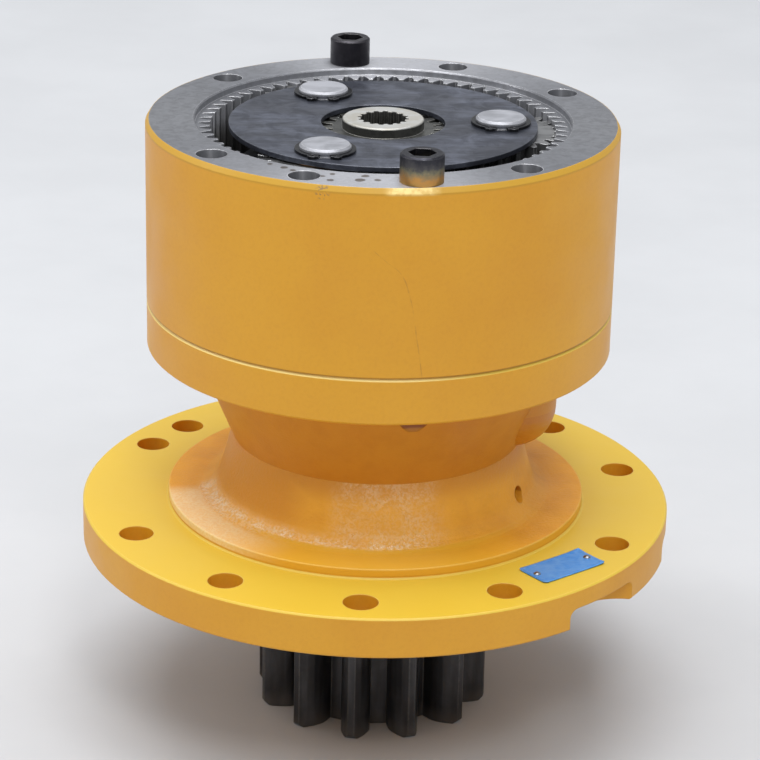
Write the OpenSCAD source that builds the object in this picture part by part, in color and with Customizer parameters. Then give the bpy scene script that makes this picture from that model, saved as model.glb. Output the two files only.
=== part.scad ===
// Swing reduction gearbox: two planetary stages in one toothed case, on a flanged
// housing that carries the slewing pinion in two tapered roller bearings.
// Millimetres. The origin is on the pinion's axis, at the pinion's lower face.

/* [Case and housing] */
// Outside diameter of the ring gear case and of the housing's upper band
case_d = 272; // [266:1:284]
// Height of the ring gear case
ring_h = 108; // [104:1:116]
// Height of the housing's upper band
band_h = 27; // [22:1:34]
// Height from the raised pad to the underside of the band
neck_h = 92; // [86:1:104]
// Diameter of the bolting flange
flange_d = 350; // [342:1:370]
// Thickness of the bolting flange
flange_t = 24; // [20:1:30]
// Diameter of the raised cast pad on the flange
pad_d = 248; // [236:1:262]
// Height of the raised cast pad
pad_h = 6; // [3:0.5:9]
// Diameter of the centring spigot under the flange
spigot_d = 226; // [200:1:250]
// Height of the centring spigot under the flange
spigot_h = 5; // [3:0.5:8]
// Diameter of the neck where it is narrowest
waist_d = 172; // [168:1:182]
// Height of the narrowest place above the pad
waist_h = 35.5; // [30:0.5:42]
// Diameter where the flare's slope would meet the pad
flare_foot_d = 192; // [186:1:202]
// Radius of the fillet between flare and pad
flare_fillet = 14; // [6:0.5:16]
// Diameter of the neck where it meets the band
neck_top_d = 219; // [212:1:232]
// Width of the painted chamfer around the case's top
case_chamfer = 1.8; // [0.5:0.1:3]
// Width of the broken edges of the housing's turned faces
edge_break = 1; // [0.5:0.1:1.5]
// Width of the bevel around the band's top, below the seam
seam_bevel = 1.5; // [0.5:0.1:3]
// Width of the bevel around the case's foot, above the seam
case_foot_bevel = 0.6; // [0.2:0.1:1.5]
// Width of the bevel at the foot of the raised pad
pad_foot = 0.9; // [0.3:0.1:1.5]

/* [Lug and ports] */
// Radius of the vertical lug on the neck
lug_r = 25.5; // [20:0.5:28]
// Distance from the main axis to the lug's axis
lug_offset = 82; // [76:1:86]
// Direction of the lug, in degrees
lug_angle = -14; // [-30:1:10]
// Distance from the band down to the lug's lowest point
lug_drop = 56; // [48:1:66]
// Diameter of the port drilled in the flare
port_d = 10; // [6:0.5:14]
// Depth of the port drilled in the flare
port_depth = 15; // [8:1:17]
// Height of that port above the pad
port_h = 11; // [9:0.5:20]
// Diameter of the drain plug's thread
drain_d = 20; // [14:1:26]
// Diameter of the drain plug's head
drain_head_d = 28; // [26:1:32]
// Height of the drain plug's head
drain_head_h = 4; // [2:0.5:8]
// Diameter of the round boss that holds the drain plug
drain_boss_d = 36; // [34:1:44]

/* [Bolt holes] */
// Diameter of the clearance holes in the ring gear case
ring_hole_d = 17.5; // [16.5:0.5:19]
// Circle of the holes in the ring gear case
ring_hole_pcd = 244; // [240:0.5:247]
// Diameter of the threads in the band
case_thread_d = 16; // [14:1:16]
// Length of the case screws below their heads
case_screw_l = 130; // [118:1:134]
// Diameter of the case screws' heads
case_head_d = 24; // [21:0.5:27]
// Height of the case screws' heads
case_head_h = 16; // [10:1:20]
// Width across flats of the case screws' sockets
case_socket_w = 14; // [10:1:16]
// Diameter of the holes in the flange
flange_hole_d = 20; // [14:0.5:22]
// Circle of the holes in the flange
flange_hole_pcd = 308; // [298:1:316]
// Diameter of the dowel pins between case and band
dowel_d = 10; // [6:1:12]
// Length of the dowel pins
dowel_l = 24; // [16:1:30]

/* [Flange pockets] */
// Radius of the cutter that makes each rim pocket
pocket_r = 33.4; // [26:0.2:36]
// Distance from the main axis to the cutter's axis
pocket_offset = 190; // [186:1:196]
// Height of the rim pockets
pocket_h = 12.5; // [6:0.5:16]
// Radius of the rounded corner under each pocket's ceiling
pocket_corner = 5; // [2:0.5:5.5]

/* [Gears] */
// Module of the planetary gears
gear_module = 3; // [2.9:0.05:3.05]
// Play between mating teeth, measured around the pitch circle
backlash = 0.25; // [0.2:0.01:0.4]
// Length of the first-stage planet gears
first_face = 25; // [22:1:28]
// Length of the second-stage planet gears
second_face = 30; // [26:1:34]
// Module of the slewing pinion
pinion_module = 10; // [9:0.5:10.5]
// Pressure angle of the pinion's teeth, in degrees
pinion_pressure = 25; // [20:1:25]
// Length of the slewing pinion's teeth
pinion_face = 86; // [76:1:92]

/* [First stage] */
// Depth of the register in the top of the case
register_depth = 4.3; // [3:0.1:6]
// Diameter of the register in the top of the case
register_d = 216; // [213:0.5:220]
// Width of the bevel around the register's mouth
register_bevel = 0.8; // [0.3:0.1:2]
// Distance from the case's top down to the first retainer plate
plate_drop = 2.5; // [0.5:0.1:5]
// Diameter of the first retainer plate
first_plate_d = 177; // [168:1:190]
// Thickness of the retainer plates
plate_t = 3; // [2:0.5:4]
// Gap between the input sun gear's teeth and the edge of the plate's hole, negative where they lap
first_plate_lap = -0.3; // [-2:0.1:3]
// Diameter of the first-stage planet pins
first_pin_d = 29; // [26:0.5:31]
// Height of the planet pins above their retainer plate
pin_head_h = 4.3; // [3:0.1:5]
// Bevel on the planet pins' heads
pin_bevel = 1.2; // [0.5:0.1:2]
// Diameter of the first carrier's disc
first_carrier_d = 177; // [168:1:190]
// Thickness of the first carrier's disc
first_carrier_t = 16; // [12:1:20]
// Diameter of the first carrier's hub
first_hub_d = 68; // [62:1:76]
// Length of the first carrier's hub below its disc
first_hub_h = 8.5; // [6:0.5:12]
// Diameter of the input sun gear's collar
sun_collar_d = 47; // [42:0.5:52]
// Module of the input spline
input_spline_module = 1.75; // [1.5:0.05:1.9]

/* [Second stage] */
// Diameter of the second retainer plate
second_plate_d = 180; // [174:1:190]
// Diameter of the hole in the second retainer plate
second_plate_hole_d = 62; // [60:0.5:66]
// Diameter of the second-stage planet pins
second_pin_d = 32; // [28:0.5:34]
// Diameter of the second carrier's disc
second_carrier_d = 190; // [180:1:192]
// Thickness of the second carrier's disc
second_carrier_t = 18; // [14:1:22]
// Diameter of the second carrier's hub
second_hub_d = 104; // [94:1:112]
// Length of the second carrier's hub below its disc
second_hub_h = 14; // [8:1:18]
// Diameter of the second sun gear's collar
second_collar_d = 56; // [52:1:58]

/* [Shaft, bearings and seal] */
// Diameter of the shaft at the seal
seal_journal_d = 110; // [106:1:114]
// Diameter of the shaft at the lower bearing
lower_journal_d = 90; // [84:1:94]
// Outside diameter of the lower bearing
lower_bearing_d = 140; // [136:1:142]
// Width of the lower bearing
lower_bearing_w = 36; // [32:1:40]
// Diameter of the shaft at the upper bearing
upper_journal_d = 80; // [77:1:84]
// Outside diameter of the upper bearing
upper_bearing_d = 125; // [120:1:130]
// Width of the upper bearing
upper_bearing_w = 29; // [26:1:33]
// Diameter of the shaft's thread for the bearing nut
nut_thread_d = 75; // [75:0.5:76.5]
// Outside diameter of the bearing nut
nut_d = 98; // [90:1:104]
// Thickness of the bearing nut
nut_t = 12; // [8:1:15]
// Thickness of the nut's lock washer
lock_washer_t = 1.5; // [1:0.1:2.5]
// Outside diameter of the oil seal
seal_d = 145; // [143:0.5:150]
// Width of the oil seal
seal_w = 14; // [12:0.5:15]

/* [Name plate] */
// Length of the blank name plate
plate_l = 46; // [36:1:56]
// Width of the blank name plate
plate_w = 23; // [16:1:28]
// Thickness of the blank name plate
name_plate_t = 0.8; // [0.5:0.1:1.5]
// Distance between the name plate's rivets
rivet_gap = 38; // [28:1:40]
// Diameter of the rivets' heads
rivet_head_d = 4.4; // [3.5:0.1:5]

/* [Fits] */
// Radial play of a shaft, needle or roller that turns
running_gap = 0.05; // [0.03:0.01:0.08]
// Radial play of pieces that are fixed in each other
press_gap = 0.01; // [0.01:0.01:0.02]
// Play between faces that turn past each other
end_gap = 0.1; // [0.05:0.05:0.3]
// Thickness of the planet gears' thrust washers
washer_t = 0.9; // [0.5:0.1:1.5]

/* [Hidden] */
$fn = 96;

FIRST_PLANETS = 3;
SECOND_PLANETS = 4;

function numbered(stem, count) = [for (k = [1 : count]) str(stem, k)];

// Tooth counts: each set closes around its sun gear with equally spaced planets
RING_TEETH = 68;
FIRST_SUN_TEETH = 22;
FIRST_PLANET_TEETH = (RING_TEETH - FIRST_SUN_TEETH) / 2;
SECOND_SUN_TEETH = 20;
SECOND_PLANET_TEETH = (RING_TEETH - SECOND_SUN_TEETH) / 2;
PINION_TEETH = 12;

// Directions, in degrees from +X
RING_HOLE_ANGLES = [30, 70, 100, 140, 220, 250, 280, 310];
CASE_SCREW_ANGLES = [100, 280];
DOWEL_ANGLES = [0, 180];
FLANGE_HOLE_ANGLES = [15.5, 44.5, 57.5, 87.5, 118.5, 141, 154.5, 206.5, 237.5, 267.5, 298.5, 333.5];
POCKET_ANGLES = [-41.3, -4.2];
PORT_ANGLE = -25;
DRAIN_ANGLE = 100;
NOTCH_ANGLE = -78.5;
FIRST_STAGE_TURN = 2;
SECOND_STAGE_TURN = 45;
PINION_TURN = -9.5;
INPUT_SPLINE_TURN = 17.5;

// Heights, from the pinion's lower face
pinion_drop = pinion_face + 22;
flange_z = pinion_drop;
flange_top = flange_z + flange_t;
pad_top = flange_top + pad_h;
band_z = pad_top + neck_h;
seam_z = band_z + band_h;
top_z = seam_z + ring_h;
register_z = top_z - register_depth;

first_plate_z = top_z - plate_drop - plate_t;
first_gear_top = first_plate_z - washer_t - end_gap;
first_gear_z = first_gear_top - first_face;
first_disc_top = first_gear_z - end_gap - washer_t;
first_disc_z = first_disc_top - first_carrier_t;
first_hub_z = first_disc_z - first_hub_h;
first_pin_top = first_plate_z + plate_t + pin_head_h;

stage_gap = 1.5;
second_plate_z = first_hub_z - stage_gap - plate_t;
second_gear_top = second_plate_z - washer_t - end_gap;
second_gear_z = second_gear_top - second_face;
second_disc_top = second_gear_z - end_gap - washer_t;
second_disc_z = second_disc_top - second_carrier_t;
second_hub_z = second_disc_z - second_hub_h;
second_pin_top = second_plate_z + plate_t + pin_head_h;

nut_z = second_hub_z - nut_t;
lock_washer_z = nut_z - lock_washer_t;
upper_bearing_z = lock_washer_z - upper_bearing_w;
seal_inset = 1.5;
seal_z = flange_z + seal_inset;
seal_seat_top = seal_z + seal_w + 0.5;
lower_bearing_z = seal_seat_top + 2;
lower_bearing_top = lower_bearing_z + lower_bearing_w;

// Radii and small standard details
case_r = case_d / 2;
flange_r = flange_d / 2;
waist_z = pad_top + waist_h;
spigot_r = spigot_d / 2;
joint_r = 112;
joint_h = 5;
joint_gap = 0.12;
counterbore_h = joint_h + 0.3;
ring_tip_r = (RING_TEETH / 2 - 1) * gear_module;
ring_root_r = (RING_TEETH / 2 + 1.25) * gear_module;
ring_relief = 1.25;
o_ring_r = 1.33;
o_ring_z = seam_z + 2.6;
cavity_wall = 10;
carrier_clear = 2.5;
carrier_room_r = second_carrier_d / 2 + carrier_clear;
cavity_r = max(joint_r - cavity_wall, carrier_room_r);
cavity_clear = 5.5;
rib_r = upper_journal_d / 2 + 18;
oilway_r = 6;
washer_rim = 5.5;
boss_wall = 4;
boss_step = 0.3;
washer_bore_r = 10;
seal_r = seal_d / 2;
socket_depth = 9;
input_spline_teeth = 16;
input_spline_r = input_spline_teeth * input_spline_module / 2;
shaft_spline_teeth = 24;
shaft_spline_module = 3;
shaft_spline_r = shaft_spline_teeth * shaft_spline_module / 2;
sun_spline_teeth = 22;
sun_spline_module = 2;
sun_spline_r = sun_spline_teeth * sun_spline_module / 2;
snap_t = 1.8;
big_snap_t = 3;
snap_room = 5;
first_orbit = (FIRST_SUN_TEETH + FIRST_PLANET_TEETH) * gear_module / 2;
second_orbit = (SECOND_SUN_TEETH + SECOND_PLANET_TEETH) * gear_module / 2;
first_needle_d = 3.5;
second_needle_d = 4;
needle_count = 14;
sun_shoulder_gap = 0.3;

// Colours
PAINT = [0.86, 0.62, 0.16];
STEEL = [0.62, 0.62, 0.63];
BRIGHT = [0.82, 0.82, 0.84];
DARK = [0.30, 0.32, 0.36];
BLACK = [0.12, 0.12, 0.13];
RUBBER = [0.10, 0.10, 0.10];
BLUE = [0.20, 0.42, 0.78];
BRASS = [0.75, 0.62, 0.32];

// Gear geometry

function tooth_height_angle(t) = t * 180 / PI - atan(t);
function roll_of(r, base_r) = sqrt(max(0, pow(r / base_r, 2) - 1));
function polar(r, a) = [r * cos(a), r * sin(a)];
function outside_r(teeth, m) = (teeth / 2 + 1) * m;
function root_r(teeth, m) = (teeth / 2 - 1.25) * m;

// Half the angle of a tooth at the roll t, thinned by thin at the pitch circle
function half_tooth(teeth, m, pressure, thin, t) =
    90 / teeth - thin / 2 / (teeth * m / 2) * 180 / PI
    + tooth_height_angle(tan(pressure)) - tooth_height_angle(t);

// One flank as [radius, half angle] pairs, from the root side to the tip side
function flank(teeth, m, pressure, r_in, r_out, thin, steps) =
    let (base_r = teeth * m / 2 * cos(pressure),
         t0 = roll_of(max(r_in, base_r), base_r),
         t1 = roll_of(r_out, base_r))
    [for (i = [0 : steps])
        let (t = t0 + (t1 - t0) * i / steps)
        [base_r * sqrt(1 + t * t), half_tooth(teeth, m, pressure, thin, t)]];

// Outline of an involute gear or spline, with a tooth centred on +X
function gear_points(teeth, m, pressure, r_in, r_out, thin, steps) =
    let (f = flank(teeth, m, pressure, r_in, r_out, thin, steps),
         radial_foot = r_in < f[0][0] - 0.01)
    [for (k = [0 : teeth - 1])
        let (c = 360 * k / teeth)
        each concat(
            radial_foot ? [polar(r_in, c - f[0][1])] : [],
            [for (i = [0 : steps]) polar(f[i][0], c - f[i][1])],
            [for (i = [steps : -1 : 0]) polar(f[i][0], c + f[i][1])],
            radial_foot ? [polar(r_in, c + f[0][1])] : [])];

module gear_outline(teeth, m, r_in, r_out, thin, pressure = 20, steps = 5) {
    polygon(gear_points(teeth, m, pressure, r_in, r_out, thin, steps));
}

module spur_teeth(teeth, m, h) {
    linear_extrude(height = h)
        gear_outline(teeth, m, root_r(teeth, m), outside_r(teeth, m), backlash / 2);
}

function arc_points(cx, cy, r, a0, a1, steps) =
    [for (i = [0 : steps]) let (a = a0 + (a1 - a0) * i / steps) [cx + r * cos(a), cy + r * sin(a)]];

// General shapes

module turned(points) {
    rotate_extrude()
        polygon(points);
}

module ring(r_in, r_out, z, h) {
    translate([0, 0, z])
        difference() {
            cylinder(r = r_out, h = h);
            translate([0, 0, -1])
                cylinder(r = r_in, h = h + 2);
        }
}

module around(angle, radius) {
    rotate([0, 0, angle])
        translate([radius, 0, 0])
            children();
}

module hex_prism(w, z, h) {
    translate([0, 0, z])
        cylinder(r = w / 2 / cos(180 / 6), h = h, $fn = 6);
}

// External snap ring: an open ring with two eyed ears beside the gap, which faces -Y
module snap_ring(shaft_r, width, z, t) {
    r_out = shaft_r + width;
    ear_r = width * 0.72;
    ear_at = 24;
    eye_r = ear_r * 0.4;
    translate([0, 0, z])
        rotate([0, 0, -90])
            linear_extrude(height = t)
                difference() {
                    union() {
                        circle(r = r_out);
                        for (side = [-1, 1])
                            translate(polar(r_out - ear_r * 0.25, side * ear_at))
                                circle(r = ear_r);
                    }
                    circle(r = shaft_r);
                    polygon([[0, 0], polar(r_out * 2, -ear_at / 2), polar(r_out * 2, ear_at / 2)]);
                    for (side = [-1, 1])
                        translate(polar(r_out - ear_r * 0.1, side * ear_at))
                            circle(r = eye_r);
                }
}

// Housing and case

flare_slope = atan((flare_foot_d - waist_d) / 2 / waist_h);
fillet_run = flare_fillet * tan((90 - flare_slope) / 2);
fillet_x = flare_foot_d / 2 + fillet_run;

// Radius of the neck's outside at the height z, above the waist
function neck_r(z) = waist_d / 2 + (neck_top_d - waist_d) / 2 * (z - waist_z) / (band_z - waist_z);

housing_outside = concat(
    [[0, flange_z - spigot_h],
     [spigot_r - edge_break, flange_z - spigot_h],
     [spigot_r, flange_z - spigot_h + edge_break],
     [spigot_r, flange_z],
     [flange_r - edge_break, flange_z],
     [flange_r, flange_z + edge_break],
     [flange_r, flange_top - edge_break],
     [flange_r - edge_break, flange_top],
     [pad_d / 2 + pad_foot, flange_top],
     [pad_d / 2, flange_top + pad_foot],
     [pad_d / 2, pad_top - edge_break / 2],
     [pad_d / 2 - edge_break / 2, pad_top]],
    arc_points(fillet_x, pad_top + flare_fillet, flare_fillet, 270, 180 + flare_slope, 6),
    [[waist_d / 2, waist_z],
     [neck_top_d / 2, band_z],
     [case_r - edge_break, band_z],
     [case_r, band_z + edge_break],
     [case_r, seam_z - seam_bevel],
     [case_r - seam_bevel, seam_z],
     [joint_r, seam_z],
     [joint_r, o_ring_z - o_ring_r - 0.1],
     [joint_r - 2 * o_ring_r + 0.05, o_ring_z - o_ring_r - 0.1],
     [joint_r - 2 * o_ring_r + 0.05, o_ring_z + o_ring_r + 0.1],
     [joint_r, o_ring_z + o_ring_r + 0.1],
     [joint_r, seam_z + joint_h - 0.5],
     [joint_r - 0.5, seam_z + joint_h],
     [0, seam_z + joint_h]]);

cavity_floor = min(second_disc_z, seam_z) - cavity_clear;
cavity_step = 6;
cup_stand = 3;
cup_hold = 10;
cup_rim = 6;
hub_room = 12;
cavity_low = max(upper_bearing_z + upper_bearing_w - cup_stand, upper_bearing_z + cup_hold);
cavity_low_r = max(upper_bearing_d / 2 + cup_rim, second_hub_d / 2 + hub_room);

housing_inside = [
    [0, seam_z + joint_h + 1],
    [cavity_r, seam_z + joint_h + 1],
    [cavity_r, cavity_floor],
    [cavity_r - cavity_step, cavity_floor],
    [cavity_low_r, cavity_low],
    [upper_bearing_d / 2 + press_gap, cavity_low],
    [upper_bearing_d / 2 + press_gap, upper_bearing_z],
    [rib_r, upper_bearing_z],
    [rib_r, lower_bearing_top],
    [lower_bearing_d / 2 + press_gap, lower_bearing_top],
    [lower_bearing_d / 2 + press_gap, seal_seat_top],
    [seal_r, seal_seat_top],
    [seal_r, flange_z - spigot_h - 1],
    [0, flange_z - spigot_h - 1]];

drain_z = band_z - 40;
drain_stand = 10;
drain_face = neck_r(drain_z) + drain_stand;
drain_root = rib_r + 4;
drain_thread_l = 15;
port_z = pad_top + port_h;
port_surface_r = waist_d / 2 + (waist_z - port_z) * tan(flare_slope);
notch_r = 15;
notch_reach = 7.8;
notch_offset = neck_top_d / 2 + notch_reach;
notch_h = 17.5;

module lug() {
    around(lug_angle, lug_offset)
        turned(concat(
            [[0, band_z + 1]],
            [[0, band_z - lug_drop]],
            arc_points(0, band_z - lug_drop + lug_r, lug_r, -82, 0, 8),
            [[lug_r, band_z + 1]]));
}

module swing_housing() {
    color(PAINT)
        difference() {
            union() {
                turned(housing_outside);
                lug();
                rotate([0, 0, DRAIN_ANGLE])
                    translate([drain_root, 0, drain_z])
                        rotate([0, 90, 0])
                            cylinder(d = drain_boss_d, h = drain_face - drain_root);
            }
            turned(housing_inside);
            for (a = RING_HOLE_ANGLES)
                around(a, ring_hole_pcd / 2)
                    translate([0, 0, band_z - 1])
                        cylinder(d = case_thread_d, h = band_h + 2);
            for (a = DOWEL_ANGLES)
                around(a, ring_hole_pcd / 2)
                    translate([0, 0, seam_z - dowel_l / 2 - 0.5])
                        cylinder(r = dowel_d / 2 + press_gap, h = dowel_l);
            for (a = FLANGE_HOLE_ANGLES)
                around(a, flange_hole_pcd / 2)
                    translate([0, 0, flange_z - 1])
                        cylinder(d = flange_hole_d, h = flange_t + 2);
            for (a = POCKET_ANGLES)
                around(a, pocket_offset)
                    turned(concat(
                        [[0, flange_z - 1], [pocket_r, flange_z - 1]],
                        arc_points(pocket_r - pocket_corner, flange_z + pocket_h - pocket_corner,
                                   pocket_corner, 0, 90, 5),
                        [[0, flange_z + pocket_h]]));
            around(NOTCH_ANGLE, notch_offset)
                translate([0, 0, band_z - notch_h])
                    cylinder(r = notch_r, h = notch_h);
            rotate([0, 0, PORT_ANGLE])
                translate([port_surface_r - port_depth, 0, port_z])
                    rotate([0, 90, 0])
                        cylinder(d = port_d, h = port_depth + 20);
            rotate([0, 0, DRAIN_ANGLE])
                translate([0, 0, drain_z])
                    rotate([0, 90, 0]) {
                        translate([0, 0, drain_root - 10])
                            cylinder(d = drain_d / 2, h = drain_face - drain_root);
                        translate([0, 0, drain_face - drain_thread_l - 1])
                            cylinder(r = drain_d / 2 + press_gap, h = drain_thread_l + 4);
                    }
            for (side = [-1, 1])
                name_plate_place()
                    translate([side * rivet_gap / 2, 0, -rivet_depth - 0.5])
                        cylinder(r = rivet_shank_r + press_gap, h = rivet_depth + 2);
        }
}

module ring_gear_case() {
    teeth_z = (second_disc_top + second_gear_z) / 2;
    register_r = register_d / 2;
    color(PAINT)
        difference() {
            turned([
                [0, seam_z], [case_r - case_foot_bevel, seam_z], [case_r, seam_z + case_foot_bevel],
                [case_r, top_z - 1.6 * case_chamfer], [case_r - case_chamfer, top_z], [0, top_z]]);
            translate([0, 0, seam_z - 1])
                cylinder(r = joint_r + joint_gap, h = counterbore_h + 1);
            translate([0, 0, seam_z])
                cylinder(r = max(ring_root_r + ring_relief, carrier_room_r), h = teeth_z - seam_z);
            translate([0, 0, teeth_z - 1])
                linear_extrude(height = ring_h)
                    rotate(FIRST_STAGE_TURN)
                        gear_outline(RING_TEETH, gear_module, ring_tip_r, ring_root_r,
                                     -backlash / 2, steps = 3);
            turned([
                [0, register_z], [register_r, register_z], [register_r, top_z - register_bevel],
                [register_r + register_bevel + 1, top_z + 1], [0, top_z + 1]]);
            for (a = RING_HOLE_ANGLES)
                around(a, ring_hole_pcd / 2)
                    translate([0, 0, seam_z - 1])
                        cylinder(d = ring_hole_d, h = ring_h + 2);
            for (a = DOWEL_ANGLES)
                around(a, ring_hole_pcd / 2)
                    translate([0, 0, seam_z - 1])
                        cylinder(r = dowel_d / 2 + press_gap, h = dowel_l / 2 + 1.5);
        }
}

module case_o_ring() {
    color(RUBBER)
        translate([0, 0, o_ring_z])
            rotate_extrude()
                translate([joint_r + 0.1 - o_ring_r, 0])
                    circle(r = o_ring_r, $fn = 32);
}

module socket_screw(head_d, head_h, socket_w, shank_r, shank_l) {
    difference() {
        turned([
            [0, -shank_l], [shank_r - 1.2, -shank_l], [shank_r, 1.2 - shank_l], [shank_r, 0],
            [head_d / 2, 0], [head_d / 2, head_h - 1], [head_d / 2 - 1, head_h], [0, head_h]]);
        hex_prism(socket_w, head_h - socket_depth, socket_depth + 1);
    }
}

module case_screws() {
    color(BLACK)
        for (a = CASE_SCREW_ANGLES)
            around(a, ring_hole_pcd / 2)
                translate([0, 0, top_z])
                    rotate([0, 0, 15])
                        socket_screw(case_head_d, case_head_h, case_socket_w,
                                     case_thread_d / 2 - press_gap, case_screw_l);
}

module case_dowels() {
    bevel = 1;
    color(STEEL)
        for (a = DOWEL_ANGLES)
            around(a, ring_hole_pcd / 2)
                translate([0, 0, seam_z - dowel_l / 2])
                    turned([
                        [0, 0], [dowel_d / 2 - bevel, 0], [dowel_d / 2, bevel],
                        [dowel_d / 2, dowel_l - bevel], [dowel_d / 2 - bevel, dowel_l], [0, dowel_l]]);
}

module drain_plug() {
    socket_w = drain_d / 2;
    color(PAINT)
        rotate([0, 0, DRAIN_ANGLE])
            translate([drain_face, 0, drain_z])
                rotate([0, 90, 0])
                    difference() {
                        turned([
                            [0, -drain_thread_l], [drain_d / 2 - 1, -drain_thread_l],
                            [drain_d / 2, 1 - drain_thread_l], [drain_d / 2, 0],
                            [drain_head_d / 2, 0], [drain_head_d / 2, drain_head_h - 0.5],
                            [drain_head_d / 2 - 0.5, drain_head_h], [0, drain_head_h]]);
                        hex_prism(socket_w, drain_head_h - 7, 8);
                    }
}

name_plate_angle = -43.6;
name_plate_inset = 27;
name_plate_r = flange_r - name_plate_inset;
name_plate_turn = 39;
rivet_shank_r = 1.5;
rivet_depth = 4;

module name_plate_place() {
    translate(concat(polar(name_plate_r, name_plate_angle), flange_top))
        rotate([0, 0, name_plate_turn])
            children();
}

module name_plate() {
    corner = 2;
    color(BLUE)
        name_plate_place()
            linear_extrude(height = name_plate_t)
                difference() {
                    polygon([
                        for (p = [[1, 1], [-1, 1], [-1, -1], [1, -1]])
                            let (x = p[0] * plate_l / 2, y = p[1] * plate_w / 2,
                                 a = [x - p[0] * corner, y], b = [x, y - p[1] * corner])
                            each (p[0] * p[1] > 0 ? [b, a] : [a, b])]);
                    for (side = [-1, 1])
                        translate([side * rivet_gap / 2, 0])
                            circle(r = rivet_shank_r + press_gap);
                }
}

module name_plate_rivets() {
    head_r = rivet_head_d / 2;
    color(BRIGHT)
        for (side = [-1, 1])
            name_plate_place()
                translate([side * rivet_gap / 2, 0, name_plate_t])
                    turned([
                        [0, -name_plate_t - rivet_depth], [rivet_shank_r, -name_plate_t - rivet_depth],
                        [rivet_shank_r, 0], [head_r, 0], [head_r * 0.92, 0.5],
                        [head_r * 0.6, 1.05], [0, 1.3]]);
}

module oil_seal() {
    shaft_r = seal_journal_d / 2;
    lip_r = shaft_r + 2 * running_gap;
    color(RUBBER)
        translate([0, 0, seal_z])
            turned([
                [shaft_r + 2.8, 0], [seal_r - press_gap, 0], [seal_r - press_gap, seal_w],
                [seal_r - 4, seal_w], [seal_r - 4, 4.5], [shaft_r + 7.5, 4.5],
                [shaft_r + 6, seal_w - 2.5], [shaft_r + 1.6, seal_w - 2.5],
                [lip_r, seal_w - 5.4], [shaft_r + 2.8, 3]]);
}

module seal_spring() {
    wire_r = 1.2;
    color(STEEL)
        translate([0, 0, seal_z + seal_w - 4.5])
            rotate_extrude()
                translate([seal_journal_d / 2 + 7.75, 0])
                    circle(r = wire_r, $fn = 24);
}

// Tapered roller bearings. Local Z runs from the rollers' large ends to their small ends.

bearing_tilt = 12;
function bearing_mid_r(bore_r, out_r) = (bore_r + out_r) / 2;
function roller_r(bore_r, out_r) = 0.17 * (out_r - bore_r);
function roller_l(w) = 0.62 * w;
function roller_taper(bore_r, out_r) =
    atan(roller_r(bore_r, out_r) * sin(bearing_tilt) / bearing_mid_r(bore_r, out_r));
function roller_count(bore_r, out_r) =
    floor(PI * bearing_mid_r(bore_r, out_r) / roller_r(bore_r, out_r) / 1.35);

// Radius of a race at the height z: side is 1 for the cup and -1 for the cone
function race_r(bore_r, out_r, w, side, gap, z) =
    let (slope = bearing_tilt + side * roller_taper(bore_r, out_r),
         off = roller_r(bore_r, out_r) + gap,
         r0 = bearing_mid_r(bore_r, out_r) + side * off * cos(bearing_tilt),
         z0 = w / 2 + side * off * sin(bearing_tilt))
    r0 - tan(slope) * (z - z0);

module bearing_cup(bore_r, out_r, w) {
    low = w * 0.1;
    turned([
        [race_r(bore_r, out_r, w, 1, running_gap, low), low],
        [out_r - 1, low], [out_r, low + 1], [out_r, w - 1], [out_r - 1, w],
        [race_r(bore_r, out_r, w, 1, running_gap, w), w]]);
}

module bearing_cone(bore_r, out_r, w) {
    r = roller_r(bore_r, out_r);
    half = roller_l(w) / 2 * cos(bearing_tilt);
    rib_top = w / 2 - half - r * sin(bearing_tilt) - end_gap;
    small_rib = w / 2 + half + end_gap;
    high = min(w, small_rib + 2.5);
    low_race = race_r(bore_r, out_r, w, -1, press_gap, rib_top);
    high_race = race_r(bore_r, out_r, w, -1, press_gap, small_rib);
    turned([
        [bore_r + press_gap, 0], [low_race + 2, 0], [low_race + 2, rib_top], [low_race, rib_top],
        [high_race, small_rib], [high_race + 1.2, small_rib], [high_race + 1.2, high],
        [bore_r + press_gap, high]]);
}

module bearing_roller_places(bore_r, out_r, w) {
    count = roller_count(bore_r, out_r);
    for (k = [0 : count - 1])
        rotate([0, 0, 360 * (k + 0.5) / count])
            translate([bearing_mid_r(bore_r, out_r), 0, w / 2])
                rotate([0, -bearing_tilt, 0])
                    children();
}

module roller(bore_r, out_r, w, extra) {
    r = roller_r(bore_r, out_r);
    l = roller_l(w);
    change = tan(roller_taper(bore_r, out_r)) * l / 2;
    translate([0, 0, -l / 2 - extra])
        cylinder(r1 = r + change + extra, r2 = r - change + extra, h = l + 2 * extra);
}

module bearing_rollers(bore_r, out_r, w) {
    bearing_roller_places(bore_r, out_r, w)
        roller(bore_r, out_r, w, 0);
}

module bearing_cage(bore_r, out_r, w) {
    mid_r = bearing_mid_r(bore_r, out_r);
    reach = roller_l(w) / 2 + 1.7;
    half_t = roller_r(bore_r, out_r) * 0.2;
    rise = reach * cos(bearing_tilt);
    lean = reach * sin(bearing_tilt);
    pocket_gap = 0.2;
    difference() {
        turned([
            [mid_r + lean - half_t, w / 2 - rise], [mid_r + lean + half_t, w / 2 - rise],
            [mid_r - lean + half_t, w / 2 + rise], [mid_r - lean - half_t, w / 2 + rise]]);
        bearing_roller_places(bore_r, out_r, w)
            roller(bore_r, out_r, w, pocket_gap);
    }
}

module in_lower_bearing() {
    translate([0, 0, lower_bearing_z])
        children();
}

module in_upper_bearing() {
    translate([0, 0, upper_bearing_z + upper_bearing_w])
        mirror([0, 0, 1])
            children();
}

module lower_bearing_cup() {
    color(STEEL)
        in_lower_bearing()
            bearing_cup(lower_journal_d / 2, lower_bearing_d / 2, lower_bearing_w);
}

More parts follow.
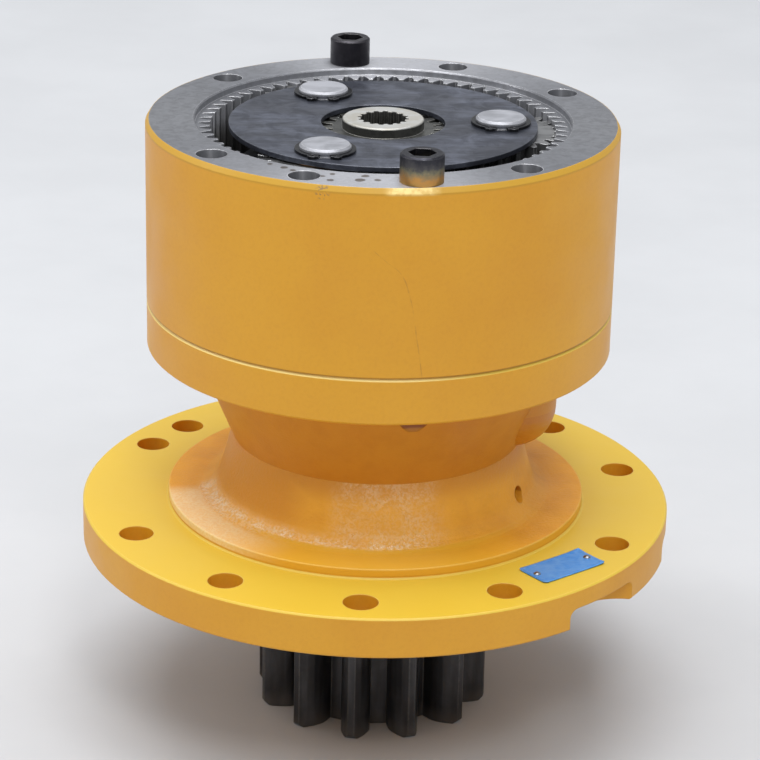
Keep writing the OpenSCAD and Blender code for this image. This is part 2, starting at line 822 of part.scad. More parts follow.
module lower_bearing_cone() {
    color(STEEL)
        in_lower_bearing()
            bearing_cone(lower_journal_d / 2, lower_bearing_d / 2, lower_bearing_w);
}

module lower_bearing_rollers() {
    color(BRIGHT)
        in_lower_bearing()
            bearing_rollers(lower_journal_d / 2, lower_bearing_d / 2, lower_bearing_w);
}

module lower_bearing_cage() {
    color(DARK)
        in_lower_bearing()
            bearing_cage(lower_journal_d / 2, lower_bearing_d / 2, lower_bearing_w);
}

module upper_bearing_cup() {
    color(STEEL)
        in_upper_bearing()
            bearing_cup(upper_journal_d / 2, upper_bearing_d / 2, upper_bearing_w);
}

module upper_bearing_cone() {
    color(STEEL)
        in_upper_bearing()
            bearing_cone(upper_journal_d / 2, upper_bearing_d / 2, upper_bearing_w);
}

module upper_bearing_rollers() {
    color(BRIGHT)
        in_upper_bearing()
            bearing_rollers(upper_journal_d / 2, upper_bearing_d / 2, upper_bearing_w);
}

module upper_bearing_cage() {
    color(DARK)
        in_upper_bearing()
            bearing_cage(upper_journal_d / 2, upper_bearing_d / 2, upper_bearing_w);
}

// Pinion shaft and what is fixed on it

shaft_top = second_disc_top;
shaft_snap_z = shaft_top - snap_room;
spline_foot_r = shaft_spline_r - 2;
shaft_snap_r = spline_foot_r;

module pinion_shaft() {
    tip = outside_r(PINION_TEETH, pinion_module);
    root = root_r(PINION_TEETH, pinion_module);
    end_bevel = 2.5;
    collar_r = seal_journal_d / 2 + 3;
    collar_h = 10;
    shoulder_r = lower_journal_d / 2 + 7;
    relief = 2;
    centre_r = 8;
    centre_depth = 30;
    color(DARK)
        difference() {
            union() {
                intersection() {
                    linear_extrude(height = pinion_face)
                        rotate(PINION_TURN - 90)
                            gear_outline(PINION_TEETH, pinion_module, root, tip, backlash,
                                         pressure = pinion_pressure, steps = 6);
                    turned([
                        [0, 0], [tip - end_bevel, 0], [tip + 0.5, end_bevel + 0.5],
                        [tip + 0.5, pinion_face - end_bevel - 0.5],
                        [tip - end_bevel, pinion_face], [0, pinion_face]]);
                }
                turned([
                    [0, pinion_face - 1], [root - 1, pinion_face - 1], [root - 1, pinion_face],
                    [collar_r, pinion_face], [collar_r, pinion_face + collar_h],
                    [seal_journal_d / 2, pinion_face + collar_h],
                    [seal_journal_d / 2, seal_seat_top],
                    [shoulder_r, lower_bearing_z - 0.5], [shoulder_r, lower_bearing_z],
                    [lower_journal_d / 2, lower_bearing_z],
                    [lower_journal_d / 2, lower_bearing_top + 1],
                    [upper_journal_d / 2 + relief, lower_bearing_top + 4],
                    [upper_journal_d / 2 + relief, upper_bearing_z - 3],
                    [upper_journal_d / 2, upper_bearing_z - 1],
                    [upper_journal_d / 2, lock_washer_z],
                    [nut_thread_d / 2, lock_washer_z],
                    [nut_thread_d / 2, second_hub_z - 0.5],
                    [spline_foot_r, second_hub_z - 0.5], [spline_foot_r, shaft_top - 1],
                    [spline_foot_r - 1, shaft_top], [0, shaft_top]]);
                translate([0, 0, second_hub_z - 1])
                    linear_extrude(height = shaft_top - 1 - second_hub_z)
                        gear_outline(shaft_spline_teeth, shaft_spline_module, shaft_spline_r - 1.8,
                                     shaft_spline_r + 1, running_gap, pressure = 30, steps = 2);
            }
            ring(shaft_snap_r, shaft_spline_r + 3, shaft_snap_z, big_snap_t);
            translate([0, 0, -1])
                cylinder(r = centre_r, h = centre_depth + 1);
        }
}

module lock_washer() {
    tab_count = 12;
    color(STEEL)
        translate([0, 0, lock_washer_z])
            linear_extrude(height = lock_washer_t)
                difference() {
                    union() {
                        circle(r = nut_d / 2 - 5);
                        for (k = [0 : tab_count - 1])
                            rotate(360 * k / tab_count)
                                translate([nut_d / 2 - 8, -3])
                                    square([8, 6]);
                    }
                    circle(r = nut_thread_d / 2 + press_gap);
                }
}

module bearing_nut() {
    slot_w = 8;
    slot_depth = 3.5;
    slot_count = 6;
    color(STEEL)
        difference() {
            translate([0, 0, nut_z])
                turned([
                    [nut_thread_d / 2 + press_gap, 0], [nut_d / 2 - 1, 0], [nut_d / 2, 1],
                    [nut_d / 2, nut_t - 1], [nut_d / 2 - 1, nut_t],
                    [nut_thread_d / 2 + press_gap, nut_t]]);
            for (k = [0 : slot_count - 1])
                rotate([0, 0, 360 * k / slot_count])
                    translate([nut_d / 2 - slot_depth, -slot_w / 2, nut_z - 1])
                        cube([slot_depth + 2, slot_w, nut_t + 2]);
        }
}

module carrier_snap_ring() {
    color(STEEL)
        snap_ring(shaft_snap_r + press_gap, 6, shaft_snap_z, big_snap_t);
}

module shaft_thrust_washer() {
    color(BRASS)
        ring(washer_bore_r, root_r(SECOND_SUN_TEETH, gear_module) + 2, second_disc_top, washer_t);
}

// Planet stages. Each takes its planets' directions, orbit and levels.

function first_angle(k) = FIRST_STAGE_TURN + 360 * k / FIRST_PLANETS;
function second_angle(k) = FIRST_STAGE_TURN + SECOND_STAGE_TURN + 360 * k / SECOND_PLANETS;

// Turn of a planet gear that has rolled in the ring gear to the direction a
function planet_turn(a, teeth) =
    FIRST_STAGE_TURN + (a - FIRST_STAGE_TURN) * (1 - RING_TEETH / teeth);

module at_first() {
    for (k = [0 : FIRST_PLANETS - 1])
        translate(polar(first_orbit, first_angle(k)))
            children();
}

module at_second() {
    for (k = [0 : SECOND_PLANETS - 1])
        translate(polar(second_orbit, second_angle(k)))
            children();
}

function needle_ring_r(pin_d, needle_d) = pin_d / 2 + press_gap + needle_d / 2;
function planet_bore_r(pin_d, needle_d) = pin_d / 2 + press_gap + needle_d + running_gap;
needle_end = 1;
cage_end = 0.4;

module planet_gear(teeth, z, face, pin_d, needle_d) {
    difference() {
        translate([0, 0, z])
            spur_teeth(teeth, gear_module, face);
        translate([0, 0, z - 1])
            cylinder(r = planet_bore_r(pin_d, needle_d), h = face + 2);
    }
}

module planet_pin(pin_d, z0, z1, groove_z) {
    groove = 1.3;
    turned([
        [0, z0], [pin_d / 2 - 1, z0], [pin_d / 2, z0 + 1], [pin_d / 2, groove_z],
        [pin_d / 2 - groove, groove_z], [pin_d / 2 - groove, groove_z + snap_t],
        [pin_d / 2, groove_z + snap_t], [pin_d / 2, z1 - pin_bevel],
        [pin_d / 2 - pin_bevel, z1], [0, z1]]);
}

module pin_snap_ring(pin_d, groove_z) {
    snap_ring(pin_d / 2 - 1.3 + press_gap, 4, groove_z, snap_t);
}

module needles(pin_d, needle_d, z, face) {
    for (k = [0 : needle_count - 1])
        rotate([0, 0, 360 * k / needle_count])
            translate([needle_ring_r(pin_d, needle_d), 0, z + needle_end])
                cylinder(d = needle_d, h = face - 2 * needle_end);
}

module needle_cage(pin_d, needle_d, z, face) {
    mid = needle_ring_r(pin_d, needle_d);
    half_t = needle_d / 2 - 0.4;
    pocket_gap = 0.15;
    difference() {
        ring(mid - half_t, mid + half_t, z + cage_end, face - 2 * cage_end);
        for (k = [0 : needle_count - 1])
            rotate([0, 0, 360 * k / needle_count])
                translate([mid, 0, z + needle_end - pocket_gap])
                    cylinder(r = needle_d / 2 + pocket_gap, h = face - 2 * needle_end + 2 * pocket_gap);
    }
}

// Metal around a pin, for a disc or plate too small to hold it. It stands back from both faces.
module pin_boss(pin_d, z, t) {
    translate([0, 0, z + boss_step])
        cylinder(r = pin_d / 2 + boss_wall, h = t - 2 * boss_step);
}

module planet_washer(pin_d, z) {
    ring(pin_d / 2 + press_gap, pin_d / 2 + washer_rim, z, washer_t);
}

module first_planet_gear(k) {
    color(DARK)
        translate(polar(first_orbit, first_angle(k)))
            rotate([0, 0, planet_turn(first_angle(k), FIRST_PLANET_TEETH)])
                planet_gear(FIRST_PLANET_TEETH, first_gear_z, first_face, first_pin_d, first_needle_d);
}

module second_planet_gear(k) {
    color(DARK)
        translate(polar(second_orbit, second_angle(k)))
            rotate([0, 0, planet_turn(second_angle(k), SECOND_PLANET_TEETH)])
                planet_gear(SECOND_PLANET_TEETH, second_gear_z, second_face, second_pin_d,
                            second_needle_d);
}

module first_planet_pins() {
    color(BRIGHT)
        at_first()
            planet_pin(first_pin_d, first_disc_z, first_pin_top, first_plate_z + plate_t);
}

module second_planet_pins() {
    color(BRIGHT)
        at_second()
            planet_pin(second_pin_d, second_disc_z, second_pin_top, second_plate_z + plate_t);
}

module first_pin_snap_rings() {
    color(DARK)
        at_first()
            pin_snap_ring(first_pin_d, first_plate_z + plate_t);
}

module second_pin_snap_rings() {
    color(DARK)
        at_second()
            pin_snap_ring(second_pin_d, second_plate_z + plate_t);
}

module first_planet_needles() {
    color(BRIGHT)
        at_first()
            needles(first_pin_d, first_needle_d, first_gear_z, first_face);
}

module second_planet_needles() {
    color(BRIGHT)
        at_second()
            needles(second_pin_d, second_needle_d, second_gear_z, second_face);
}

module first_needle_cages() {
    color(BRASS)
        at_first()
            needle_cage(first_pin_d, first_needle_d, first_gear_z, first_face);
}

module second_needle_cages() {
    color(BRASS)
        at_second()
            needle_cage(second_pin_d, second_needle_d, second_gear_z, second_face);
}

module first_lower_washers() {
    color(BRASS)
        at_first()
            planet_washer(first_pin_d, first_disc_top);
}

module first_upper_washers() {
    color(BRASS)
        at_first()
            planet_washer(first_pin_d, first_plate_z - washer_t);
}

module second_lower_washers() {
    color(BRASS)
        at_second()
            planet_washer(second_pin_d, second_disc_top);
}

module second_upper_washers() {
    color(BRASS)
        at_second()
            planet_washer(second_pin_d, second_plate_z - washer_t);
}

first_plate_hole_r = outside_r(FIRST_SUN_TEETH, gear_module) + first_plate_lap;

module first_retainer_plate() {
    color(DARK)
        difference() {
            union() {
                ring(first_plate_hole_r, first_plate_d / 2, first_plate_z, plate_t);
                at_first()
                    pin_boss(first_pin_d, first_plate_z, plate_t);
            }
            at_first()
                translate([0, 0, first_plate_z - 1])
                    cylinder(r = first_pin_d / 2 + press_gap, h = plate_t + 2);
        }
}

module second_retainer_plate() {
    color(DARK)
        difference() {
            union() {
                ring(second_plate_hole_d / 2, second_plate_d / 2, second_plate_z, plate_t);
                at_second()
                    pin_boss(second_pin_d, second_plate_z, plate_t);
            }
            at_second()
                translate([0, 0, second_plate_z - 1])
                    cylinder(r = second_pin_d / 2 + press_gap, h = plate_t + 2);
        }
}

sun_top = first_disc_top - 1;
sun_snap_r = sun_spline_r - 2.2;
sun_snap_z = first_disc_top - snap_room;

module first_carrier() {
    snap_well_r = sun_snap_r + 10;
    color(DARK)
        difference() {
            union() {
                turned([
                    [0, first_hub_z], [first_hub_d / 2, first_hub_z],
                    [first_hub_d / 2, first_disc_z], [first_carrier_d / 2 - 1, first_disc_z],
                    [first_carrier_d / 2, first_disc_z + 1], [first_carrier_d / 2, first_disc_top - 1],
                    [first_carrier_d / 2 - 1, first_disc_top], [0, first_disc_top]]);
                at_first()
                    pin_boss(first_pin_d, first_disc_z, first_carrier_t);
            }
            at_first()
                translate([0, 0, first_disc_z - 1])
                    cylinder(r = first_pin_d / 2 + press_gap, h = first_carrier_t + 2);
            translate([0, 0, first_hub_z - 1])
                linear_extrude(height = first_disc_top - first_hub_z + 2)
                    gear_outline(sun_spline_teeth, sun_spline_module, sun_spline_r - 0.9,
                                 sun_spline_r + 1.1, -running_gap, pressure = 30, steps = 2);
            translate([0, 0, sun_snap_z])
                cylinder(r = snap_well_r, h = snap_room + 1);
        }
}

module second_carrier() {
    snap_well_r = shaft_snap_r + 10;
    color(DARK)
        difference() {
            union() {
                turned([
                    [0, second_hub_z], [second_hub_d / 2 - 1, second_hub_z],
                    [second_hub_d / 2, second_hub_z + 1], [second_hub_d / 2, second_disc_z],
                    [second_carrier_d / 2 - 1, second_disc_z],
                    [second_carrier_d / 2, second_disc_z + 1],
                    [second_carrier_d / 2, second_disc_top - 1],
                    [second_carrier_d / 2 - 1, second_disc_top], [0, second_disc_top]]);
                at_second()
                    pin_boss(second_pin_d, second_disc_z, second_carrier_t);
            }
            at_second()
                translate([0, 0, second_disc_z - 1])
                    cylinder(r = second_pin_d / 2 + press_gap, h = second_carrier_t + 2);
            translate([0, 0, second_hub_z - 1])
                linear_extrude(height = second_disc_top - second_hub_z + 2)
                    gear_outline(shaft_spline_teeth, shaft_spline_module, shaft_spline_r - 1.6,
                                 shaft_spline_r + 1.2, -running_gap, pressure = 30, steps = 2);
            translate([0, 0, shaft_snap_z])
                cylinder(r = snap_well_r, h = snap_room + 1);
        }
}

// Turn that puts a space of the second sun gear where the rolled planets have a tooth
second_sun_turn = FIRST_STAGE_TURN + SECOND_STAGE_TURN * (1 + RING_TEETH / SECOND_SUN_TEETH)
    + 180 / SECOND_SUN_TEETH;

module second_sun_gear() {
    color(DARK)
        difference() {
            union() {
                translate([0, 0, second_gear_z])
                    rotate([0, 0, second_sun_turn])
                        spur_teeth(SECOND_SUN_TEETH, gear_module, second_face);
                turned([
                    [0, second_gear_top - 1],
                    [root_r(SECOND_SUN_TEETH, gear_module) - 1, second_gear_top - 1],
                    [root_r(SECOND_SUN_TEETH, gear_module) - 1, second_gear_top],
                    [second_collar_d / 2, second_gear_top], [second_collar_d / 2, first_hub_z],
                    [sun_spline_r - 1.2, first_hub_z], [sun_spline_r - 1.2, sun_top], [0, sun_top]]);
                translate([0, 0, first_hub_z - 1])
                    linear_extrude(height = sun_top - first_hub_z + 1)
                        gear_outline(sun_spline_teeth, sun_spline_module, sun_spline_r - 1.1,
                                     sun_spline_r + 0.9, running_gap, pressure = 30, steps = 2);
            }
            ring(sun_snap_r, sun_spline_r + 3, sun_snap_z, snap_t);
            translate([0, 0, second_gear_z - 1])
                cylinder(r = oilway_r, h = sun_top - second_gear_z + 2);
        }
}

module sun_snap_ring() {
    color(STEEL)
        snap_ring(sun_snap_r + press_gap, 4.5, sun_snap_z, snap_t);
}

module sun_thrust_disc() {
    color(BRASS)
        ring(oilway_r, first_hub_d / 2 - 2, first_disc_top, washer_t);
}

module input_sun_gear() {
    gear_top = first_plate_z - sun_shoulder_gap;
    collar_top = top_z;
    bevel = 0.8;
    color(STEEL)
        difference() {
            union() {
                translate([0, 0, first_gear_z])
                    rotate([0, 0, FIRST_STAGE_TURN])
                        spur_teeth(FIRST_SUN_TEETH, gear_module, gear_top - first_gear_z);
                turned([
                    [0, gear_top - 1], [sun_collar_d / 2, gear_top - 1],
                    [sun_collar_d / 2, collar_top - bevel],
                    [sun_collar_d / 2 - bevel, collar_top], [0, collar_top]]);
            }
            translate([0, 0, first_gear_z - 1])
                linear_extrude(height = collar_top - first_gear_z + 2)
                    rotate(INPUT_SPLINE_TURN)
                        gear_outline(input_spline_teeth, input_spline_module, input_spline_r - 1,
                                     input_spline_r + 0.8, -running_gap, pressure = 30, steps = 2);
        }
}

ring_gear_case();
swing_housing();
case_o_ring();
case_screws();
case_dowels();
drain_plug();
name_plate();
name_plate_rivets();
oil_seal();
seal_spring();
lower_bearing_cup();
upper_bearing_cup();
pinion_shaft();
lower_bearing_cone();
lower_bearing_rollers();
lower_bearing_cage();
upper_bearing_cone();
upper_bearing_rollers();
upper_bearing_cage();
lock_washer();
bearing_nut();
second_carrier();
carrier_snap_ring();
shaft_thrust_washer();
second_planet_pins();
second_pin_snap_rings();
second_retainer_plate();
second_lower_washers();
second_upper_washers();
second_planet_needles();
second_needle_cages();
first_carrier();
second_sun_gear();
sun_snap_ring();
first_planet_pins();
first_pin_snap_rings();
first_retainer_plate();
first_lower_washers();
first_upper_washers();
first_planet_needles();
first_needle_cages();
sun_thrust_disc();
input_sun_gear();
for (k = [0 : FIRST_PLANETS - 1])
    first_planet_gear(k);
for (k = [0 : SECOND_PLANETS - 1])
    second_planet_gear(k);
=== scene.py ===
"""Finishes, light and camera for an excavator's two-stage swing gearbox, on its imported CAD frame."""
import math

import bpy
import numpy as np
from mathutils import Matrix


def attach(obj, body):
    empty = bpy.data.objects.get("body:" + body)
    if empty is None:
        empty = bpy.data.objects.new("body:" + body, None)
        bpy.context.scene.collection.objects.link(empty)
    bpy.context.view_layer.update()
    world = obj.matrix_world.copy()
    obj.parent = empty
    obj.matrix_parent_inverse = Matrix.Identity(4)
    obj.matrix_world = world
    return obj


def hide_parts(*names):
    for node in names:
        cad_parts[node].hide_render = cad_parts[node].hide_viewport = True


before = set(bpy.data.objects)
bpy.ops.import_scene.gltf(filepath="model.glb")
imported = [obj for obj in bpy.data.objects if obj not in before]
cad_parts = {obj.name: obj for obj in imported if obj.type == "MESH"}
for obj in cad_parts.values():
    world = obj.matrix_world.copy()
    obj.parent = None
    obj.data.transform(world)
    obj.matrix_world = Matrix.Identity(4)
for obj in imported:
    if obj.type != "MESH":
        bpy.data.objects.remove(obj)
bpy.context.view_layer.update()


# Case and housing.
# A turned steel ring gear case stands on a cast iron housing with a long neck and a round flange.
# Both got one coat of amber machine paint after assembly, but the case's top face was left bare.

def shown(red, green, blue):
    """A colour given as a screen shows it, from 0 to 255, as the linear colour that a shader takes."""
    c = np.array([red, green, blue]) / 255
    linear = np.where(c <= 0.04045, c / 12.92, ((c + 0.055) / 1.055) ** 2.4)
    return (*linear.tolist(), 1.0)


def put(tree, kind, settings=None, inputs=None):
    """A new shader node. Settings are its properties, and inputs its sockets: a value or another node's
    socket each."""
    made = tree.nodes.new("ShaderNode" + kind)
    for key, value in (settings or {}).items():
        setattr(made, key, value)
    for key, value in (inputs or {}).items():
        if isinstance(value, bpy.types.NodeSocket):
            tree.links.new(value, made.inputs[key])
        else:
            made.inputs[key].default_value = value
    return made


def work(tree, operation, *values):
    """The result of a Math node on one, two or three values or sockets."""
    return put(tree, "Math", {"operation": operation}, dict(enumerate(values))).outputs[0]


def fade(tree, value, start, end, low=0.0, high=1.0):
    """Rises smoothly from low, where the value is at start, to high, where it is at end."""
    settings = {"interpolation_type": "SMOOTHSTEP"}
    inputs = {"Value": value, "From Min": start, "From Max": end, "To Min": low, "To Max": high}
    return put(tree, "MapRange", settings, inputs).outputs["Result"]


def tint(tree, share, under, over):
    """Lays the colour over on the colour under, by that share."""
    return put(tree, "Mix", {"data_type": "RGBA"}, {0: share, 6: under, 7: over}).outputs[2]


def speckle(tree, place, size, detail=3.0, roughness=0.5):
    """Noise from 0 to 1, whose features are about size metres wide."""
    inputs = {"Vector": place, "Scale": 1 / size, "Detail": detail, "Roughness": roughness}
    return put(tree, "TexNoise", None, inputs).outputs["Fac"]


def effect(name, sockets_in, sockets_out):
    """An empty shader node group with those sockets, its input node and its output node."""
    tree = bpy.data.node_groups.new(name, "ShaderNodeTree")
    for label, kind, value in sockets_in:
        socket = tree.interface.new_socket(label, in_out="INPUT", socket_type="NodeSocket" + kind)
        if value is not None:
            socket.default_value = value
    for label, kind in sockets_out:
        tree.interface.new_socket(label, in_out="OUTPUT", socket_type="NodeSocket" + kind)
    return tree, tree.nodes.new("NodeGroupInput"), tree.nodes.new("NodeGroupOutput")


def use(tree, group, inputs):
    """That node group, placed in a material."""
    return put(tree, "Group", {"node_tree": group}, inputs)


def finish(name, **plain):
    """A material with one Principled shader: returns it, its tree, that shader and the place in metres."""
    material = bpy.data.materials.new(name)
    material.use_nodes = True
    tree = material.node_tree
    shader = tree.nodes["Principled BSDF"]
    for key, value in plain.items():
        shader.inputs[key.replace("_", " ")].default_value = value
    place = tree.nodes.new("ShaderNodeTexCoord").outputs["Object"]
    return material, tree, shader, place


def feed(tree, shader, **sockets):
    """Links sockets to the shader's inputs of the same name."""
    for key, socket in sockets.items():
        tree.links.new(socket, shader.inputs[key.replace("_", " ")])


def dress(material, *names):
    """Gives those CAD nodes that one material."""
    for name in names:
        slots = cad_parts[name].data.materials
        slots.clear()
        slots.append(material)


# The cast skin: rounded lumps a few millimetres wide under finer grain, with a mask of their high spots.
cast_skin, given, made = effect(
    "cast_skin", [("Place", "Vector", None), ("Lump", "Float", 0.004)],
    [("Height", "Float"), ("Crests", "Float")])
lump_scale = work(cast_skin, "DIVIDE", 1.0, given.outputs["Lump"])
lumps = put(cast_skin, "TexNoise", None, {
    "Vector": given.outputs["Place"], "Scale": lump_scale, "Detail": 4.0, "Roughness": 0.6})
grains = put(cast_skin, "TexVoronoi", {"feature": "SMOOTH_F1"}, {
    "Vector": given.outputs["Place"], "Scale": work(cast_skin, "MULTIPLY", lump_scale, 1.6),
    "Smoothness": 0.8})
rough_cast = work(cast_skin, "MULTIPLY_ADD", grains.outputs["Distance"], -0.3, lumps.outputs["Fac"])
cast_skin.links.new(rough_cast, made.inputs["Height"])
cast_skin.links.new(fade(cast_skin, rough_cast, 0.26, 0.46), made.inputs["Crests"])

# Turned faces: fine uneven grooves round the main axis, seen as rings.
turned_face, given, made = effect(
    "turned_face", [("Place", "Vector", None), ("Pitch", "Float", 0.0006)], [("Height", "Float")])
flat = put(turned_face, "VectorMath", {"operation": "MULTIPLY"}, {0: given.outputs["Place"], 1: (1, 1, 0)})
radius = put(turned_face, "VectorMath", {"operation": "LENGTH"}, {0: flat.outputs[0]}).outputs["Value"]
grooves = put(turned_face, "TexNoise", {"noise_dimensions": "1D"}, {
    "W": work(turned_face, "DIVIDE", radius, given.outputs["Pitch"]), "Scale": 1.0, "Detail": 2.0})
turned_face.links.new(grooves.outputs["Fac"], made.inputs["Height"])

# Oil and finger marks: soft patches with a wiped, drawn-out look.
smudges, given, made = effect(
    "smudges", [("Place", "Vector", None), ("Size", "Float", 0.03)], [("Marks", "Float")])
patch_scale = work(smudges, "DIVIDE", 1.0, given.outputs["Size"])
patches = put(smudges, "TexNoise", None, {
    "Vector": given.outputs["Place"], "Scale": patch_scale, "Detail": 6.0, "Roughness": 0.62,
    "Distortion": 0.9})
wipes = put(smudges, "TexNoise", None, {
    "Vector": put(smudges, "Mapping", None, {
        "Vector": given.outputs["Place"], "Rotation": (0, 0, 0.6), "Scale": (1, 7, 1)}).outputs[0],
    "Scale": patch_scale, "Detail": 3.0})
smear = work(smudges, "MULTIPLY_ADD", wipes.outputs["Fac"], 0.35, patches.outputs["Fac"])
smudges.links.new(fade(smudges, smear, 0.52, 0.86), made.inputs["Marks"])

# Edges: where a rounded normal leaves the face's own, the surface is near an outer edge. Most parts use this
# for worn edges; on the housing's paint and the case's bare top it also places painted highlights.
edge_wear_and_highlight, given, made = effect(
    "edge_wear_and_highlight", [("Place", "Vector", None), ("Width", "Float", 0.001)],
    [("Edge", "Float"), ("Normal", "Vector")])
rounded = put(edge_wear_and_highlight, "Bevel", {"samples": 6}, {"Radius": given.outputs["Width"]}).outputs[0]
face = put(edge_wear_and_highlight, "NewGeometry").outputs["Normal"]
lean = put(edge_wear_and_highlight, "VectorMath", {"operation": "DOT_PRODUCT"}, {0: rounded, 1: face}).outputs["Value"]
ragged = work(edge_wear_and_highlight, "MULTIPLY_ADD", speckle(edge_wear_and_highlight, given.outputs["Place"], 0.002), 0.16, lean)
edge_wear_and_highlight.links.new(fade(edge_wear_and_highlight, ragged, 1.06, 0.96), made.inputs["Edge"])
edge_wear_and_highlight.links.new(rounded, made.inputs["Normal"])

# The paint's colours by place and wear, and the two colours of bare steel. Some stand in for light: the lit
# tops, the shaded neck, flare and notch, and the highlights and sheen on the flare, pad and edges.
PAINT_BODY = shown(223, 160, 34)
PAINT_SHADE = shown(216, 149, 30)
PAINT_NECK_SHADE = shown(206, 134, 36)
PAINT_NECK_SHADE_DARK = shown(190, 114, 26)
PAINT_FLARE = shown(240, 171, 40)
PAINT_FLARE_MOTTLE_AND_SHADE = shown(216, 143, 28)
PAINT_PAD = shown(236, 176, 50)
PAINT_LIT_TOP = shown(218, 184, 58)
PAINT_PALE = shown(255, 226, 146)
PAINT_HIGHLIGHT = shown(255, 240, 206)
PAINT_SHEEN = shown(250, 232, 186)
PAINT_NOTCH_SHADE = shown(138, 68, 2)
BARE_STEEL = shown(165, 166, 171)
OILED_AND_SHADED_STEEL = shown(104, 103, 102)

# Heights and radii, in metres, at which the finish changes, and the depth of the paint's relief.
CASE_TOP, CASE_EDGE, CASE_INSIDE = 0.365, 0.1342, 0.1325
TEETH_DEPTH = 0.0043
SEAM = 0.257
CAST_LOW, CAST_HIGH, CAST_RADIUS = 0.1325, 0.2297, 0.1236
PAD_LOW, PAD_TOP = 0.134, 0.138
NOTCH_X, NOTCH_Y, NOTCH_WIDE = 0.0234, -0.115, 0.0154
NOTCH_LOW, NOTCH_HIGH = 0.212, 0.2301
NOTCH_SHADE_LOW, NOTCH_SHADE_HIGH = 0.2138, 0.2156
WAIST_LOW, WAIST_HIGH = 0.156, 0.172
PAINT_RELIEF = 0.00004

# Where a mask starts, is full, is still full and ends: directions in degrees from +X, and one of radii.
# The first three place the flare's gloss and painted highlight, the next the pad's painted sheen, the last a
# paler patch on the case's chamfer.
GLOSS_AND_HIGHLIGHT_FRONT = (-110.0, -98.0, -76.0, -60.0)
GLOSS_AND_HIGHLIGHT_SWEEP = (-180.0, -172.0, -84.0, -62.0)
GLOSS_AND_HIGHLIGHT_FOOT = (0.094, 0.099, 0.102, 0.108)
SHEEN_LEFT = (-176.0, -168.0, -140.0, -112.0)
PALE_FRONT = (-90.0, -87.0, -79.0, -76.0)

# The scratch's points are height and x in metres, and the stains are x, y and radius in millimetres.
SCRATCH = ((0.257, 0.0241), (0.279, 0.0209), (0.3075, 0.0156), (0.317, 0.0117), (0.3244, 0.0033),
           (0.3318, -0.0052))
SCRATCH_SPAN = 0.05
STAINS = ((-26.6, -111, 1.7), (-27.7, -122, 2.1), (-31.8, -115, 1.5), (-11.7, -120.7, 2.7),
          (-2.4, -120, 1.9), (-9.1, -113.3, 2.3), (-48, -105.5, 1.8), (-53, -101, 2.2), (-61, -95, 1.6))
CHIPS_PLACE = (-0.0315, -0.1322, 0.3615)


def flat_ring(tree, place):
    """Radius from the main axis, direction in degrees from +X, and height."""
    split = put(tree, "SeparateXYZ", None, {0: place})
    flat = put(tree, "CombineXYZ", None, {0: split.outputs["X"], 1: split.outputs["Y"]}).outputs[0]
    radius = put(tree, "VectorMath", {"operation": "LENGTH"}, {0: flat}).outputs["Value"]
    turn = work(tree, "ARCTAN2", split.outputs["Y"], split.outputs["X"])
    return radius, work(tree, "DEGREES", turn), split.outputs["Z"]


def span(tree, value, start, full, full_end, end):
    """1 between full and full_end, with soft ends that reach 0 at start and at end."""
    return work(tree, "MULTIPLY", fade(tree, value, start, full), fade(tree, value, end, full_end))


def amber_paint(tree, place, facing):
    """The paint's colour: slightly patchy with a fine darker grain, and yellower where the surface faces up,
    a painted highlight for the strong light from above.
    """
    patches = speckle(tree, place, 0.09, 4.0, 0.55)
    colour = tint(tree, fade(tree, patches, 0.35, 0.75, 0.0, 0.8), PAINT_BODY, PAINT_SHADE)
    colour = tint(tree, fade(tree, speckle(tree, place, 0.0022, 4.0, 0.7), 0.42, 0.7, 0.0, 0.12), colour,
                  shown(190, 122, 24))
    # Faces that look up turn yellower: a painted highlight for the light from above.
    return tint(tree, fade(tree, facing, 0.3, 0.75), colour, PAINT_LIT_TOP)


def facing_up(tree):
    """The surface's own direction: 1 where it faces up and -1 where it faces down."""
    return put(tree, "SeparateXYZ", None, {0: put(tree, "NewGeometry").outputs["Normal"]}).outputs["Z"]


